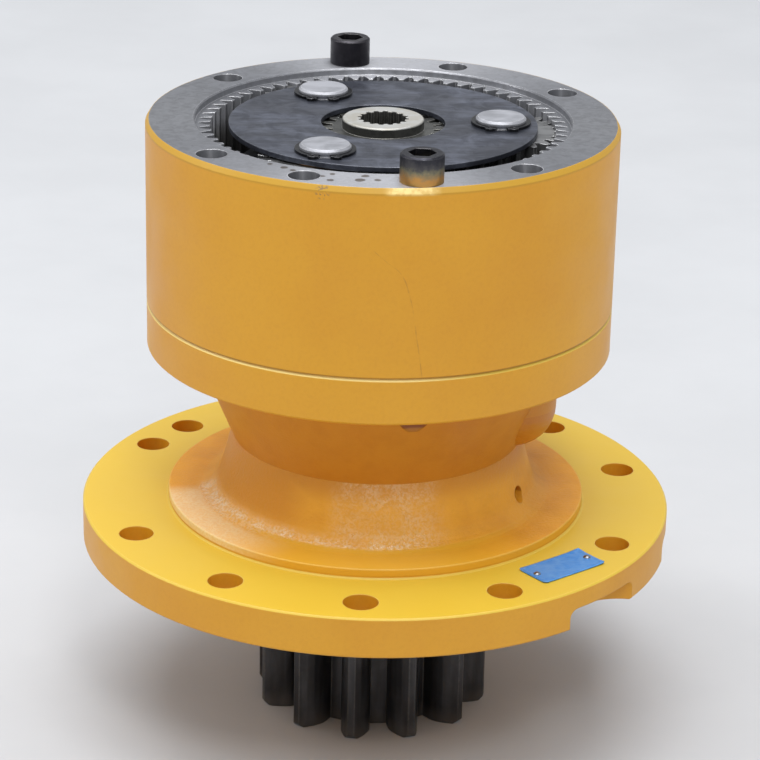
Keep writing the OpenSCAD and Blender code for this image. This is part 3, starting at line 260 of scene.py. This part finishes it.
def painted_housing():
    """Amber paint. The neck, the flare and the pad's sides keep the cast skin. The neck's down-facing slope
    is darker and more orange, and the flare darker under the waist and in its throat: painted shade. The
    flare's front and foot are glossier with a painted highlight on the grain, the pad's left has a painted
    sheen, the seam's bevel and the flange's edge carry a painted highlight, and the notch under the band is
    painted shade."""
    material, tree, shader, place = finish("amber_paint_housing")
    radius, turn, height = flat_ring(tree, place)
    facing = facing_up(tree)
    on_pad = span(tree, height, PAD_LOW - 0.0005, PAD_LOW + 0.0005, 0.19, 0.2)
    colour = tint(tree, work(tree, "MULTIPLY", on_pad, 0.75), amber_paint(tree, place, facing), PAINT_PAD)
    between = span(tree, height, CAST_LOW, CAST_LOW + 0.0006, CAST_HIGH - 0.0006, CAST_HIGH)
    cast = work(tree, "MULTIPLY", between, fade(tree, radius, CAST_RADIUS + 0.0005, CAST_RADIUS - 0.0005))
    sideways = put(tree, "SeparateXYZ", None, {0: place}).outputs["X"]
    pad_side = fade(tree, work(tree, "ABSOLUTE", sideways), 0.04, 0.095, 0.08, 0.9)
    above_pad = fade(tree, height, PAD_TOP + 0.0006, PAD_TOP + 0.0022)
    cast = work(tree, "MULTIPLY", cast, work(tree, "MAXIMUM", pad_side, above_pad))

    skin = use(tree, cast_skin, {"Place": place, "Lump": 0.0018})
    neck = work(tree, "MULTIPLY", cast, fade(tree, facing, 0.1, -0.1))
    flare = work(tree, "MULTIPLY", cast, fade(tree, facing, 0.05, 0.2))
    # The flare's front, and its foot from the left round to the front, are glossier, and the grain's crests
    # there are tinted near white: a painted highlight.
    front = span(tree, turn, *GLOSS_AND_HIGHLIGHT_FRONT)
    foot = span(tree, radius, *GLOSS_AND_HIGHLIGHT_FOOT)
    sweep = span(tree, turn, *GLOSS_AND_HIGHLIGHT_SWEEP)
    streak = work(tree, "MULTIPLY", work(tree, "MULTIPLY", foot, sweep), 1.5)
    gloss_and_highlight = work(tree, "MULTIPLY", work(tree, "MAXIMUM", work(tree, "MULTIPLY", front, 0.7), streak),
                     fade(tree, speckle(tree, place, 0.012, 3.0), 0.36, 0.56, 0.45, 1.0))
    gloss_and_highlight = work(tree, "MULTIPLY", flare, gloss_and_highlight)
    # The down-facing neck turns darker and more orange, with a random mottle: painted shade under the case.
    mottled = fade(tree, speckle(tree, place, 0.014, 5.0, 0.65), 0.35, 0.7, 0.0, 0.35)
    colour = tint(tree, neck, colour, tint(tree, mottled, PAINT_NECK_SHADE, PAINT_NECK_SHADE_DARK))
    # The flare gets random darker mottles, and painted shade just under the waist and in its throat on the
    # left.
    mottled = fade(tree, speckle(tree, place, 0.02, 5.0, 0.6), 0.35, 0.7, 0.0, 0.5)
    shade_under_waist = fade(tree, height, WAIST_LOW, WAIST_HIGH)
    shaded_throat = work(tree, "MULTIPLY", fade(tree, radius, 0.099, 0.092), fade(tree, turn, -108.0, -128.0))
    dark = work(tree, "MAXIMUM", mottled, work(tree, "MAXIMUM", shaded_throat, shade_under_waist))
    colour = tint(tree, work(tree, "MULTIPLY", flare, 0.9), colour,
                  tint(tree, dark, PAINT_FLARE, PAINT_FLARE_MOTTLE_AND_SHADE))
    highlight_grain = work(tree, "MULTIPLY_ADD", skin.outputs["Crests"], 0.28, 0.11)
    colour = tint(tree, work(tree, "MULTIPLY", gloss_and_highlight, highlight_grain), colour, PAINT_HIGHLIGHT)
    # The pad's top on the left is tinted pale along the grain: a painted sheen.
    sheen_left = work(tree, "MULTIPLY", span(tree, turn, *SHEEN_LEFT), on_pad)
    sheen_left = work(tree, "MULTIPLY", sheen_left, fade(tree, radius, 0.103, 0.108))
    dust_and_sheen = work(tree, "MULTIPLY_ADD", skin.outputs["Crests"], 0.2, 0.45)
    colour = tint(tree, work(tree, "MULTIPLY", sheen_left, dust_and_sheen), colour, PAINT_SHEEN)
    # The notch under the band is painted dark brown, darker towards the band: painted shade.
    from_notch = put(tree, "VectorMath", {"operation": "DISTANCE"}, {
        0: put(tree, "Mapping", None, {"Vector": place, "Scale": (1, 1, 0)}).outputs[0],
        1: (NOTCH_X, NOTCH_Y, 0)}).outputs["Value"]
    in_notch = work(tree, "MULTIPLY", fade(tree, from_notch, NOTCH_WIDE + 0.0004, NOTCH_WIDE), span(
        tree, height, NOTCH_LOW - 0.0002, NOTCH_LOW + 0.0002, NOTCH_HIGH - 0.0002, NOTCH_HIGH + 0.0002))
    notch_shade = fade(tree, height, NOTCH_SHADE_LOW, NOTCH_SHADE_HIGH, 0.45, 0.95)
    colour = tint(tree, work(tree, "MULTIPLY", in_notch, notch_shade), colour, PAINT_NOTCH_SHADE)

    soft = use(tree, edge_wear_and_highlight, {"Place": place, "Width": 0.0011})
    # Up-facing edges, and the seam's bevel most of all on the front and left, are tinted pale: painted
    # highlights.
    edge_highlight = work(tree, "MULTIPLY", soft.outputs["Edge"], fade(tree, facing, 0.1, 0.4, 0.0, 0.4))
    seam_highlight = work(tree, "MULTIPLY", fade(tree, height, SEAM - 0.0018, SEAM - 0.0012),
                fade(tree, radius, CASE_EDGE - 0.0004, CASE_EDGE + 0.0002))
    seam_highlight = work(tree, "MULTIPLY", seam_highlight, fade(tree, turn, -62.0, -84.0, 0.15, 1.0))
    colour = tint(tree, work(tree, "MAXIMUM", edge_highlight, work(tree, "MULTIPLY", seam_highlight, 0.8)), colour, PAINT_PALE)

    depth = work(tree, "MULTIPLY_ADD", gloss_and_highlight, 8.0, work(tree, "MULTIPLY", flare, 12.0))
    lumpy = work(tree, "MULTIPLY", skin.outputs["Height"], work(tree, "MULTIPLY_ADD", neck, 5.0, depth))
    normal = put(tree, "Bump", None, {
        "Height": work(tree, "ADD", lumpy, speckle(tree, place, 0.0016, 2.0)), "Distance": PAINT_RELIEF,
        "Strength": 0.9, "Normal": soft.outputs["Normal"]}).outputs[0]
    gloss = fade(tree, speckle(tree, place, 0.03, 4.0), 0.3, 0.7, 0.38, 0.48)
    gloss = work(tree, "MULTIPLY_ADD", flare, 0.04, work(tree, "MULTIPLY_ADD", gloss_and_highlight, -0.3, gloss))
    feed(tree, shader, Base_Color=colour, Roughness=gloss, Normal=normal)
    return material


def scratch(tree, place, height):
    """Mask of one faint hair line down the case's front: its x runs with the height through the SCRATCH
    points, as a curve from 0 to 1 over SCRATCH_SPAN metres."""
    (low, first), (high, last) = SCRATCH[0], SCRATCH[-1]
    share = put(tree, "MapRange", None, {"Value": height, "From Min": low, "From Max": high})
    line = put(tree, "FloatCurve", None, {"Value": share.outputs["Result"]})
    points = line.mapping.curves[0].points
    points[0].location = (0.0, first / SCRATCH_SPAN + 0.5)
    points[1].location = (1.0, last / SCRATCH_SPAN + 0.5)
    for z, x in SCRATCH[1:-1]:
        points.new((z - low) / (high - low), x / SCRATCH_SPAN + 0.5)
    line.mapping.update()
    split = put(tree, "SeparateXYZ", None, {0: place})
    want = work(tree, "MULTIPLY_ADD", line.outputs["Value"], SCRATCH_SPAN, -SCRATCH_SPAN / 2)
    off = work(tree, "ABSOLUTE", work(tree, "SUBTRACT", split.outputs["X"], want))
    off = work(tree, "MULTIPLY_ADD", speckle(tree, place, 0.004), 0.0005, off)
    in_front = work(tree, "LESS_THAN", split.outputs["Y"], 0.0)
    here = work(tree, "MULTIPLY", fade(tree, off, 0.0008, 0.0003), in_front)
    return work(tree, "MULTIPLY", here, fade(tree, height, high, high - 0.004))


def stained(tree, place):
    """Mask of the dried drops at STAINS, given as x, y and radius in millimetres, with ragged outlines."""
    flat = put(tree, "Mapping", None, {"Vector": place, "Scale": (1, 1, 0)}).outputs[0]
    nearest = 1.0
    for x, y, size in STAINS:
        spot = {0: flat, 1: (x / 1000, y / 1000, 0)}
        away = put(tree, "VectorMath", {"operation": "DISTANCE"}, spot).outputs["Value"]
        nearest = work(tree, "MINIMUM", nearest, work(tree, "SUBTRACT", away, size / 1000))
    ragged = work(tree, "MULTIPLY_ADD", speckle(tree, place, 0.003), 0.002, nearest)
    return fade(tree, ragged, 0.0013, 0.0006)


def painted_case():
    """The same paint outside, chipped along the top face's edge and paler in a patch at the chamfer's front.
    The chamfer is dulled as painted shade, and the strip above the seam is a painted shadow. The top, the
    register, the teeth and the holes are bare turned steel with dried drops near the front; it darkens with
    depth below the teeth's top as painted shade, and its edges are lightened, partly wear and partly a
    painted highlight."""
    material, tree, shader, place = finish("amber_paint_case", Anisotropic_Rotation=0.25)
    radius, turn, height = flat_ring(tree, place)
    paint = amber_paint(tree, place, facing_up(tree))
    near_top = fade(tree, height, CASE_TOP - 0.0045, CASE_TOP - 0.0026)
    # A patch at the front of the top chamfer is tinted paler, with a speckled outline.
    pale_front = work(tree, "MULTIPLY", span(tree, turn, *PALE_FRONT),
                 fade(tree, speckle(tree, place, 0.003, 4.0), 0.35, 0.6, 0.4, 0.8))
    # The top chamfer is dulled to a darker amber: painted shade that tones down its lit look.
    paint = tint(tree, work(tree, "MULTIPLY", near_top, 0.75), paint, shown(186, 140, 38))
    paint = tint(tree, work(tree, "MULTIPLY", pale_front, near_top), paint, PAINT_PALE)
    # The lowest millimetre or so above the seam is darkened: a painted shadow at the case's lower bevel.
    foot = fade(tree, height, SEAM + 0.0014, SEAM + 0.0006, 0.0, 0.5)
    paint = tint(tree, foot, paint, shown(140, 90, 24))
    line = work(tree, "MULTIPLY", scratch(tree, place, height),
                fade(tree, speckle(tree, place, 0.006), 0.3, 0.65))
    paint = tint(tree, work(tree, "MULTIPLY", line, 0.55), paint, shown(168, 110, 38))
    by_chips = put(tree, "VectorMath", {"operation": "DISTANCE"}, {0: place, 1: CHIPS_PLACE})
    nicks = fade(tree, speckle(tree, place, 0.0022, 3.0, 0.6), 0.5, 0.56)
    chips = work(tree, "MULTIPLY", nicks, fade(tree, by_chips.outputs["Value"], 0.0048, 0.003))
    paint = tint(tree, work(tree, "MULTIPLY", chips, 0.8), paint, shown(126, 104, 80))

    ragged = work(tree, "MULTIPLY_ADD", speckle(tree, place, 0.006, 5.0, 0.7), 0.0008, CASE_EDGE - 0.0006)
    bare_top = work(tree, "MULTIPLY", work(tree, "LESS_THAN", radius, ragged),
                    work(tree, "GREATER_THAN", height, CASE_TOP - 0.0004))
    bare = work(tree, "MAXIMUM", bare_top, work(tree, "LESS_THAN", radius, CASE_INSIDE))

    marks = use(tree, smudges, {"Place": place, "Size": 0.03}).outputs["Marks"]
    fine = use(tree, smudges, {"Place": place, "Size": 0.006}).outputs["Marks"]
    # Below the teeth's top the steel darkens with depth into the bore, a painted shade; oil marks take the
    # same dark colour. The top's edges are lightened almost to white, partly wear and partly a painted
    # highlight.
    teeth_top = CASE_TOP - TEETH_DEPTH
    shaded_depth = fade(tree, height, teeth_top - 0.002, teeth_top - 0.02)
    worked = work(tree, "MULTIPLY_ADD", fine, 0.26, work(tree, "MULTIPLY", marks, 0.1))
    steel_colour = tint(tree, work(tree, "MAXIMUM", shaded_depth, worked), BARE_STEEL, OILED_AND_SHADED_STEEL)
    stain = work(tree, "MULTIPLY", stained(tree, place), 0.85)
    steel_colour = tint(tree, stain, steel_colour, shown(84, 75, 68))
    edges = use(tree, edge_wear_and_highlight, {"Place": place, "Width": 0.0008})
    bright_edge = work(tree, "MULTIPLY", edges.outputs["Edge"], fade(tree, shaded_depth, 0.6, 0.1, 0.0, 0.7))
    steel_colour = tint(tree, bright_edge, steel_colour, shown(240, 240, 242))

    rings = use(tree, turned_face, {"Place": place, "Pitch": 0.0009})
    tree.links.new(put(tree, "Tangent", {"direction_type": "RADIAL", "axis": "Z"}).outputs[0],
                   shader.inputs["Tangent"])
    paint_gloss = fade(tree, speckle(tree, place, 0.03, 4.0), 0.3, 0.7, 0.38, 0.48)
    steel_gloss = fade(tree, fine, 0.0, 1.0, 0.4, 0.48)
    peel = speckle(tree, place, 0.0016, 2.0)
    relief = put(tree, "Mix", None, {0: bare, 2: peel, 3: rings.outputs["Height"]})
    feed(tree, shader,
         Base_Color=tint(tree, bare, paint, steel_colour),
         Metallic=work(tree, "MULTIPLY", bare, 0.85),
         Roughness=put(tree, "Mix", None, {0: bare, 2: paint_gloss, 3: steel_gloss}).outputs[0],
         Anisotropic=work(tree, "MULTIPLY", bare, 0.85),
         Normal=put(tree, "Bump", None, {
             "Height": relief.outputs[0], "Distance": PAINT_RELIEF, "Strength": 0.8,
             "Normal": edges.outputs["Normal"]}).outputs[0])
    return material


dress(painted_case(), "ring_gear_case")
dress(painted_housing(), "swing_housing", "drain_plug")


# Case screws.
# Two M16 socket head screws hold the case to the housing until the motor is bolted on.
# They are blackened steel; the near one was heated once, so its lower half runs from grey to straw.

STRAW_LEVEL, GREY_LEVEL = 0.3695, 0.3865

blackened, tree, shader, place = finish("blackened_screws", Metallic=1.0)
across = put(tree, "SeparateXYZ", None, {0: place})
edges = use(tree, edge_wear_and_highlight, {"Place": place, "Width": 0.0009})
heated = work(tree, "MULTIPLY_ADD", speckle(tree, place, 0.008, 5.0, 0.65), 0.012, across.outputs["Z"])
heat = put(tree, "ValToRGB", None, {0: fade(tree, heated, STRAW_LEVEL, GREY_LEVEL)})
stops = heat.color_ramp.elements
stops[0].position, stops[0].color = 0.0, shown(196, 156, 92)
stops[1].position, stops[1].color = 1.0, shown(60, 60, 66)
for position, shade in ((0.15, (206, 152, 84)), (0.32, (172, 144, 104)), (0.5, (136, 130, 106)),
                        (0.72, (92, 90, 90))):
    stops.new(position).color = shown(*shade)
near = work(tree, "LESS_THAN", across.outputs["Y"], 0.0)
oxide = tint(tree, speckle(tree, place, 0.004), shown(56, 55, 60), shown(76, 74, 78))
colour = tint(tree, near, oxide, heat.outputs["Color"])
feed(tree, shader,
     Base_Color=tint(tree, work(tree, "MULTIPLY", edges.outputs["Edge"], 0.35), colour, shown(150, 148, 146)),
     Roughness=fade(tree, speckle(tree, place, 0.003), 0.3, 0.7, 0.32, 0.5),
     Normal=put(tree, "Bump", None, {"Height": speckle(tree, place, 0.0008), "Distance": 0.00003,
                                     "Normal": edges.outputs["Normal"]}).outputs[0])
dress(blackened, "case_screws")


# Gears.
# Case-hardened steel spur gears with ground flanks, wet with oil. The input gear's collar has a turned
# top face in a light straw grey; its wall and teeth are darker.

COLLAR_WALL_TOP, COLLAR_FACE = 0.3641, 0.3648


def steel(name, light, dark, smooth, rough, wear, size=0.02, metallic=1.0):
    """Bare or oiled steel between two colours and two roughnesses, with oil marks and bright worn edges."""
    material, tree, shader, place = finish(name, Metallic=metallic)
    marks = use(tree, smudges, {"Place": place, "Size": size}).outputs["Marks"]
    edges = use(tree, edge_wear_and_highlight, {"Place": place, "Width": 0.0007})
    colour = tint(tree, marks, shown(*light), shown(*dark))
    bright = shown(*[min(255, c * 1.5 + 30) for c in light])
    colour = tint(tree, work(tree, "MULTIPLY", edges.outputs["Edge"], wear), colour, bright)
    feed(tree, shader, Base_Color=colour, Roughness=fade(tree, marks, 0.0, 1.0, rough, smooth),
         Normal=put(tree, "Bump", None, {"Height": speckle(tree, place, 0.0007), "Distance": 0.00002,
                                         "Normal": edges.outputs["Normal"]}).outputs[0])
    return material


dress(steel("oiled_gears", (150, 150, 150), (96, 95, 94), smooth=0.24, rough=0.42, wear=0.6, metallic=0.85),
      "first_planet_gear_1", "first_planet_gear_2", "first_planet_gear_3", "second_planet_gear_1",
      "second_planet_gear_2", "second_planet_gear_3", "second_planet_gear_4", "second_sun_gear")

collar, tree, shader, place = finish("input_gear_collar", Metallic=0.65)
split = put(tree, "SeparateXYZ", None, {0: place})
rings = use(tree, turned_face, {"Place": place, "Pitch": 0.0005})
marks = use(tree, smudges, {"Place": place, "Size": 0.012}).outputs["Marks"]
edges = use(tree, edge_wear_and_highlight, {"Place": place, "Width": 0.0006})
top = fade(tree, split.outputs["Z"], COLLAR_WALL_TOP, COLLAR_FACE)
straw = tint(tree, work(tree, "MULTIPLY", marks, 0.7), shown(192, 192, 189), shown(176, 170, 156))
wall = tint(tree, marks, shown(92, 92, 88), shown(70, 70, 67))
colour = tint(tree, top, wall, straw)
feed(tree, shader,
     Base_Color=tint(tree, work(tree, "MULTIPLY", edges.outputs["Edge"], 0.5), colour, shown(225, 222, 215)),
     Roughness=fade(tree, top, 0.0, 1.0, 0.38, 0.52),
     Normal=put(tree, "Bump", None, {"Height": rings.outputs["Height"], "Distance": 0.00003,
                                     "Normal": edges.outputs["Normal"]}).outputs[0])
dress(collar, "input_sun_gear")


# Carriers and retainer plates.
# Each carrier is a thick steel disc that holds its planet pins. The plate on top is blued sheet steel,
# ground flat, with oil on it and the marks of hands.

dress(steel("carrier_discs", (84, 84, 86), (50, 50, 52), smooth=0.25, rough=0.45, wear=0.3),
      "first_carrier", "second_carrier")
plate, tree, shader, place = finish("retainer_plates", Metallic=0.85)
rings = use(tree, turned_face, {"Place": place, "Pitch": 0.0016})
marks = use(tree, smudges, {"Place": place, "Size": 0.05}).outputs["Marks"]
small = use(tree, smudges, {"Place": place, "Size": 0.014}).outputs["Marks"]
edges = use(tree, edge_wear_and_highlight, {"Place": place, "Width": 0.0008})
colour = tint(tree, marks, shown(78, 81, 92), shown(118, 122, 135))
colour = tint(tree, work(tree, "MULTIPLY", small, 0.6), colour, shown(56, 58, 64))
feed(tree, shader,
     Base_Color=tint(tree, work(tree, "MULTIPLY", edges.outputs["Edge"], 0.5), colour, shown(150, 152, 158)),
     Roughness=work(tree, "MULTIPLY_ADD", small, 0.12, fade(tree, marks, 0.0, 1.0, 0.32, 0.44)),
     Normal=put(tree, "Bump", None, {"Height": rings.outputs["Height"], "Distance": 0.000015,
                                     "Normal": edges.outputs["Normal"]}).outputs[0])
dress(plate, "first_retainer_plate", "second_retainer_plate")


# Planet pins, snap rings and needles.
# The pins are ground bright with a bevelled head. Each is held by a black spring steel snap ring, and
# the planets run on needles in brass cages between bronze thrust washers.

dress(steel("ground_pins", (178, 179, 185), (154, 155, 160), smooth=0.46, rough=0.54, wear=0.6, metallic=0.6),
      "first_planet_pins", "second_planet_pins", "case_dowels")
dress(steel("spring_steel", (58, 58, 60), (36, 36, 38), smooth=0.28, rough=0.4, wear=0.6, size=0.01),
      "first_pin_snap_rings", "second_pin_snap_rings", "carrier_snap_ring", "sun_snap_ring", "seal_spring")
dress(steel("ground_needles", (200, 200, 202), (170, 170, 172), smooth=0.14, rough=0.22, wear=0.2, size=0.01),
      "first_planet_needles", "second_planet_needles")
dress(steel("cage_brass", (186, 152, 84), (140, 110, 58), smooth=0.3, rough=0.42, wear=0.4, size=0.01),
      "first_needle_cages", "second_needle_cages")
dress(steel("washer_bronze", (172, 126, 74), (122, 86, 50), smooth=0.3, rough=0.42, wear=0.3, size=0.015),
      "first_lower_washers", "first_upper_washers", "second_lower_washers", "second_upper_washers",
      "shaft_thrust_washer", "sun_thrust_disc")


# Pinion shaft, bearings and seal.
# The pinion is one forging with its shaft, hardened and left dark and oily. It turns in two tapered
# roller bearings that a slotted nut draws together, above a rubber lip seal.

pinion, tree, shader, place = finish("dark_pinion", Metallic=0.75)
upright = put(tree, "Mapping", None, {"Vector": place, "Scale": (1, 1, 0.12)}).outputs[0]
drawn = speckle(tree, upright, 0.006, 4.0)
marks = use(tree, smudges, {"Place": place, "Size": 0.03}).outputs["Marks"]
edges = use(tree, edge_wear_and_highlight, {"Place": place, "Width": 0.0016})
colour = tint(tree, fade(tree, drawn, 0.3, 0.7), shown(66, 65, 66), shown(90, 89, 90))
colour = tint(tree, work(tree, "MULTIPLY", marks, 0.6), colour, shown(56, 54, 54))
above_floor = put(tree, "SeparateXYZ", None, {0: place}).outputs["Z"]
dust_and_sheen = work(tree, "MULTIPLY", fade(tree, above_floor, 0.012, 0.0), 0.35)
colour = tint(tree, dust_and_sheen, colour, shown(128, 120, 110))
feed(tree, shader,
     Base_Color=tint(tree, work(tree, "MULTIPLY", edges.outputs["Edge"], 0.5), colour, shown(138, 135, 130)),
     Roughness=fade(tree, drawn, 0.3, 0.7, 0.3, 0.46),
     Normal=put(tree, "Bump", None, {"Height": drawn, "Distance": 0.00006,
                                     "Normal": edges.outputs["Normal"]}).outputs[0])
dress(pinion, "pinion_shaft")
dress(steel("bearing_steel", (176, 176, 178), (140, 140, 142), smooth=0.16, rough=0.26, wear=0.3),
      "lower_bearing_cup", "upper_bearing_cup", "lower_bearing_cone", "upper_bearing_cone",
      "lower_bearing_rollers", "upper_bearing_rollers")
dress(steel("pressed_cages", (126, 126, 128), (92, 92, 94), smooth=0.3, rough=0.45, wear=0.3),
      "lower_bearing_cage", "upper_bearing_cage")
dress(steel("shaft_nut_steel", (104, 104, 106), (72, 72, 74), smooth=0.3, rough=0.45, wear=0.5),
      "bearing_nut", "lock_washer")

rubber, tree, shader, place = finish("black_rubber")
feed(tree, shader,
     Base_Color=tint(tree, speckle(tree, place, 0.005), shown(26, 26, 27), shown(42, 41, 41)),
     Roughness=fade(tree, speckle(tree, place, 0.002), 0.3, 0.7, 0.5, 0.68),
     Normal=put(tree, "Bump", None, {"Height": speckle(tree, place, 0.0006), "Distance": 0.00003}).outputs[0])
dress(rubber, "oil_seal", "case_o_ring")


# Name plate.
# A thin blue anodised aluminium plate, left blank, with a pressed rim round its edge. Two drive rivets
# hold it to the flange, and its corners have lifted a little from the paint.

PLATE_LONG, PLATE_WIDE, PLATE_THICK, PLATE_CLIP = 0.046, 0.023, 0.0008, 0.002
PLATE_RADIUS, PLATE_ANGLE, PLATE_TURN = 0.148, -43.6, 39.0
PLATE_RIM_INSET, PLATE_RIM_HALF, PLATE_RIM_HIGH = 0.0014, 0.0011, 0.00022
PLATE_LIFT, PLATE_LEFT_SHARE = 0.0009, 0.45
FLANGE_TOP = 0.132


def plate_sheet(columns, rows):
    """A grid over the plate: its corners are clipped along 45 degree lines, a rim 1.4 mm inside the edge
    rises by 0.22 mm as a squared cosine bump, and each corner lifts with the fourth power of its
    distance."""
    u, v = np.meshgrid(np.linspace(-1, 1, columns), np.linspace(-1, 1, rows), indexing="ij")
    x, y = u * PLATE_LONG / 2, v * PLATE_WIDE / 2
    short = PLATE_CLIP - ((PLATE_LONG / 2 - abs(x)) + (PLATE_WIDE / 2 - abs(y)))
    cut = np.maximum(short, 0) / 2
    x, y = x - np.sign(x) * cut, y - np.sign(y) * cut
    inset = np.minimum(PLATE_LONG / 2 - abs(x), PLATE_WIDE / 2 - abs(y))
    inset = np.minimum(inset, (PLATE_LONG / 2 - abs(x) + PLATE_WIDE / 2 - abs(y) - PLATE_CLIP) / 1.414)
    across = np.clip((inset - PLATE_RIM_INSET) / PLATE_RIM_HALF, -1, 1)
    rim = np.cos(across * math.pi / 2) ** 2 * PLATE_RIM_HIGH
    lift = PLATE_LIFT * (abs(u) * abs(v)) ** 4 * np.where(u > 0, 1.0, PLATE_LEFT_SHARE)
    z = FLANGE_TOP + PLATE_THICK + rim + lift
    turn, angle = math.radians(PLATE_TURN), math.radians(PLATE_ANGLE)
    cx, cy = PLATE_RADIUS * math.cos(angle), PLATE_RADIUS * math.sin(angle)
    points = np.stack([cx + x * math.cos(turn) - y * math.sin(turn),
                       cy + x * math.sin(turn) + y * math.cos(turn), z], -1).reshape(-1, 3)
    first = (np.arange(columns - 1)[:, None] * rows + np.arange(rows - 1)[None]).reshape(-1)
    faces = np.stack([first, first + rows, first + rows + 1, first + 1], -1)
    return points, faces


points, faces = plate_sheet(93, 47)
mesh = bpy.data.meshes.new("name_plate_sheet")
mesh.from_pydata(points.tolist(), [], faces.tolist())
mesh.validate()
mesh.shade_smooth()
sheet = bpy.data.objects.new("name_plate_sheet", mesh)
bpy.context.scene.collection.objects.link(sheet)
thick = sheet.modifiers.new("thickness", "SOLIDIFY")
thick.thickness, thick.offset = PLATE_THICK * 0.75, -1.0

blue, tree, shader, place = finish("blue_anodised", Metallic=0.35)
grain = put(tree, "Mapping", None, {"Vector": place, "Rotation": (0, 0, -math.radians(PLATE_TURN)),
                                    "Scale": (1, 12, 1)}).outputs[0]
brushed = speckle(tree, grain, 0.004, 3.0)
marks = use(tree, smudges, {"Place": place, "Size": 0.008}).outputs["Marks"]
edges = use(tree, edge_wear_and_highlight, {"Place": place, "Width": 0.0005})
colour = tint(tree, fade(tree, brushed, 0.35, 0.7), shown(58, 134, 216), shown(86, 158, 232))
colour = tint(tree, work(tree, "MULTIPLY", marks, 0.35), colour, shown(140, 186, 232))
feed(tree, shader,
     Base_Color=tint(tree, work(tree, "MULTIPLY", edges.outputs["Edge"], 0.7), colour, shown(150, 184, 222)),
     Roughness=fade(tree, brushed, 0.3, 0.7, 0.34, 0.46),
     Normal=put(tree, "Bump", None, {"Height": brushed, "Distance": 0.00002,
                                     "Normal": edges.outputs["Normal"]}).outputs[0])
mesh.materials.append(blue)
dress(blue, "name_plate")
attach(sheet, "housing")
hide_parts("name_plate")
dress(steel("rivet_heads", (176, 178, 182), (120, 122, 126), smooth=0.3, rough=0.42, wear=0.5, size=0.003),
      "name_plate_rivets")


# Floor, light and camera.
# A plain pale floor under one broad soft light, high up, with an even sky round it. Two smaller lamps,
# in front and to the left, give the paint its gloss. The camera stands 1.7 m from the gearbox.

FLOOR_HALF = 40.0
SKY_STRENGTH = 0.66
LOOK_AT = (0.0, 0.0, 0.2)

floor_mesh = bpy.data.meshes.new("floor")
corners = np.array([[-1, -1], [1, -1], [1, 1], [-1, 1]]) * FLOOR_HALF
floor_mesh.from_pydata([(x, y, 0.0) for x, y in corners.tolist()], [], [(0, 1, 2, 3)])
floor = bpy.data.objects.new("floor", floor_mesh)
bpy.context.scene.collection.objects.link(floor)
pale, tree, shader, place = finish("pale_floor", Roughness=0.85, Specular_IOR_Level=0.2)
cloudy = fade(tree, speckle(tree, place, 0.25, 5.0, 0.6), 0.3, 0.7)
feed(tree, shader, Base_Color=tint(tree, cloudy, shown(190, 191, 193), shown(195, 196, 198)))
floor_mesh.materials.append(pale)

world = bpy.data.worlds.new("soft_sky")
bpy.context.scene.world = world
world.use_nodes = True
tree = world.node_tree
sky = tree.nodes["Background"]
upward = put(tree, "SeparateXYZ", None, {0: tree.nodes.new("ShaderNodeTexCoord").outputs["Generated"]})
height = fade(tree, upward.outputs["Z"], 0.0, 0.8)
tree.links.new(tint(tree, height, shown(222, 224, 227), shown(236, 240, 246)), sky.inputs["Color"])
sky.inputs["Strength"].default_value = SKY_STRENGTH


def lamp(name, place, size, power):
    """A square area lamp at place, turned to shine at LOOK_AT."""
    data = bpy.data.lights.new(name, "AREA")
    data.shape, data.size, data.energy = "SQUARE", size, power
    made = bpy.data.objects.new(name, data)
    away = np.array(place) - np.array(LOOK_AT)
    away = away / np.linalg.norm(away)
    side = np.cross((0, 1, 0), away)
    side = side / np.linalg.norm(side)
    turn = Matrix(np.stack([side, np.cross(away, side), away], 1).tolist()).to_4x4()
    made.matrix_world = Matrix.Translation(place) @ turn
    bpy.context.scene.collection.objects.link(made)


lamp("sky_light", (-0.35, -0.2, 5.8), size=5.0, power=338.0)
lamp("front_light", (0.7, -3.2, 3.9), size=1.0, power=44.0)
lamp("side_light", (-3.4, 0.4, 2.7), size=0.8, power=20.0)

lens = bpy.data.cameras.new("photo_view")
lens.sensor_width, lens.lens = 36.0, 135.298
lens.clip_start, lens.clip_end = 0.05, 50.0
camera = bpy.data.objects.new("photo_view", lens)
camera.matrix_world = Matrix((
    (0.999763, -0.021745, -0.000827, 0.0),
    (0.007128, 0.363164, -0.931698, -1.577454),
    (0.020560, 0.931471, 0.363233, 0.818822),
    (0.0, 0.0, 0.0, 1.0)))
bpy.context.scene.collection.objects.link(camera)
bpy.context.scene.camera = camera
bpy.context.scene.view_settings.view_transform = "Standard"
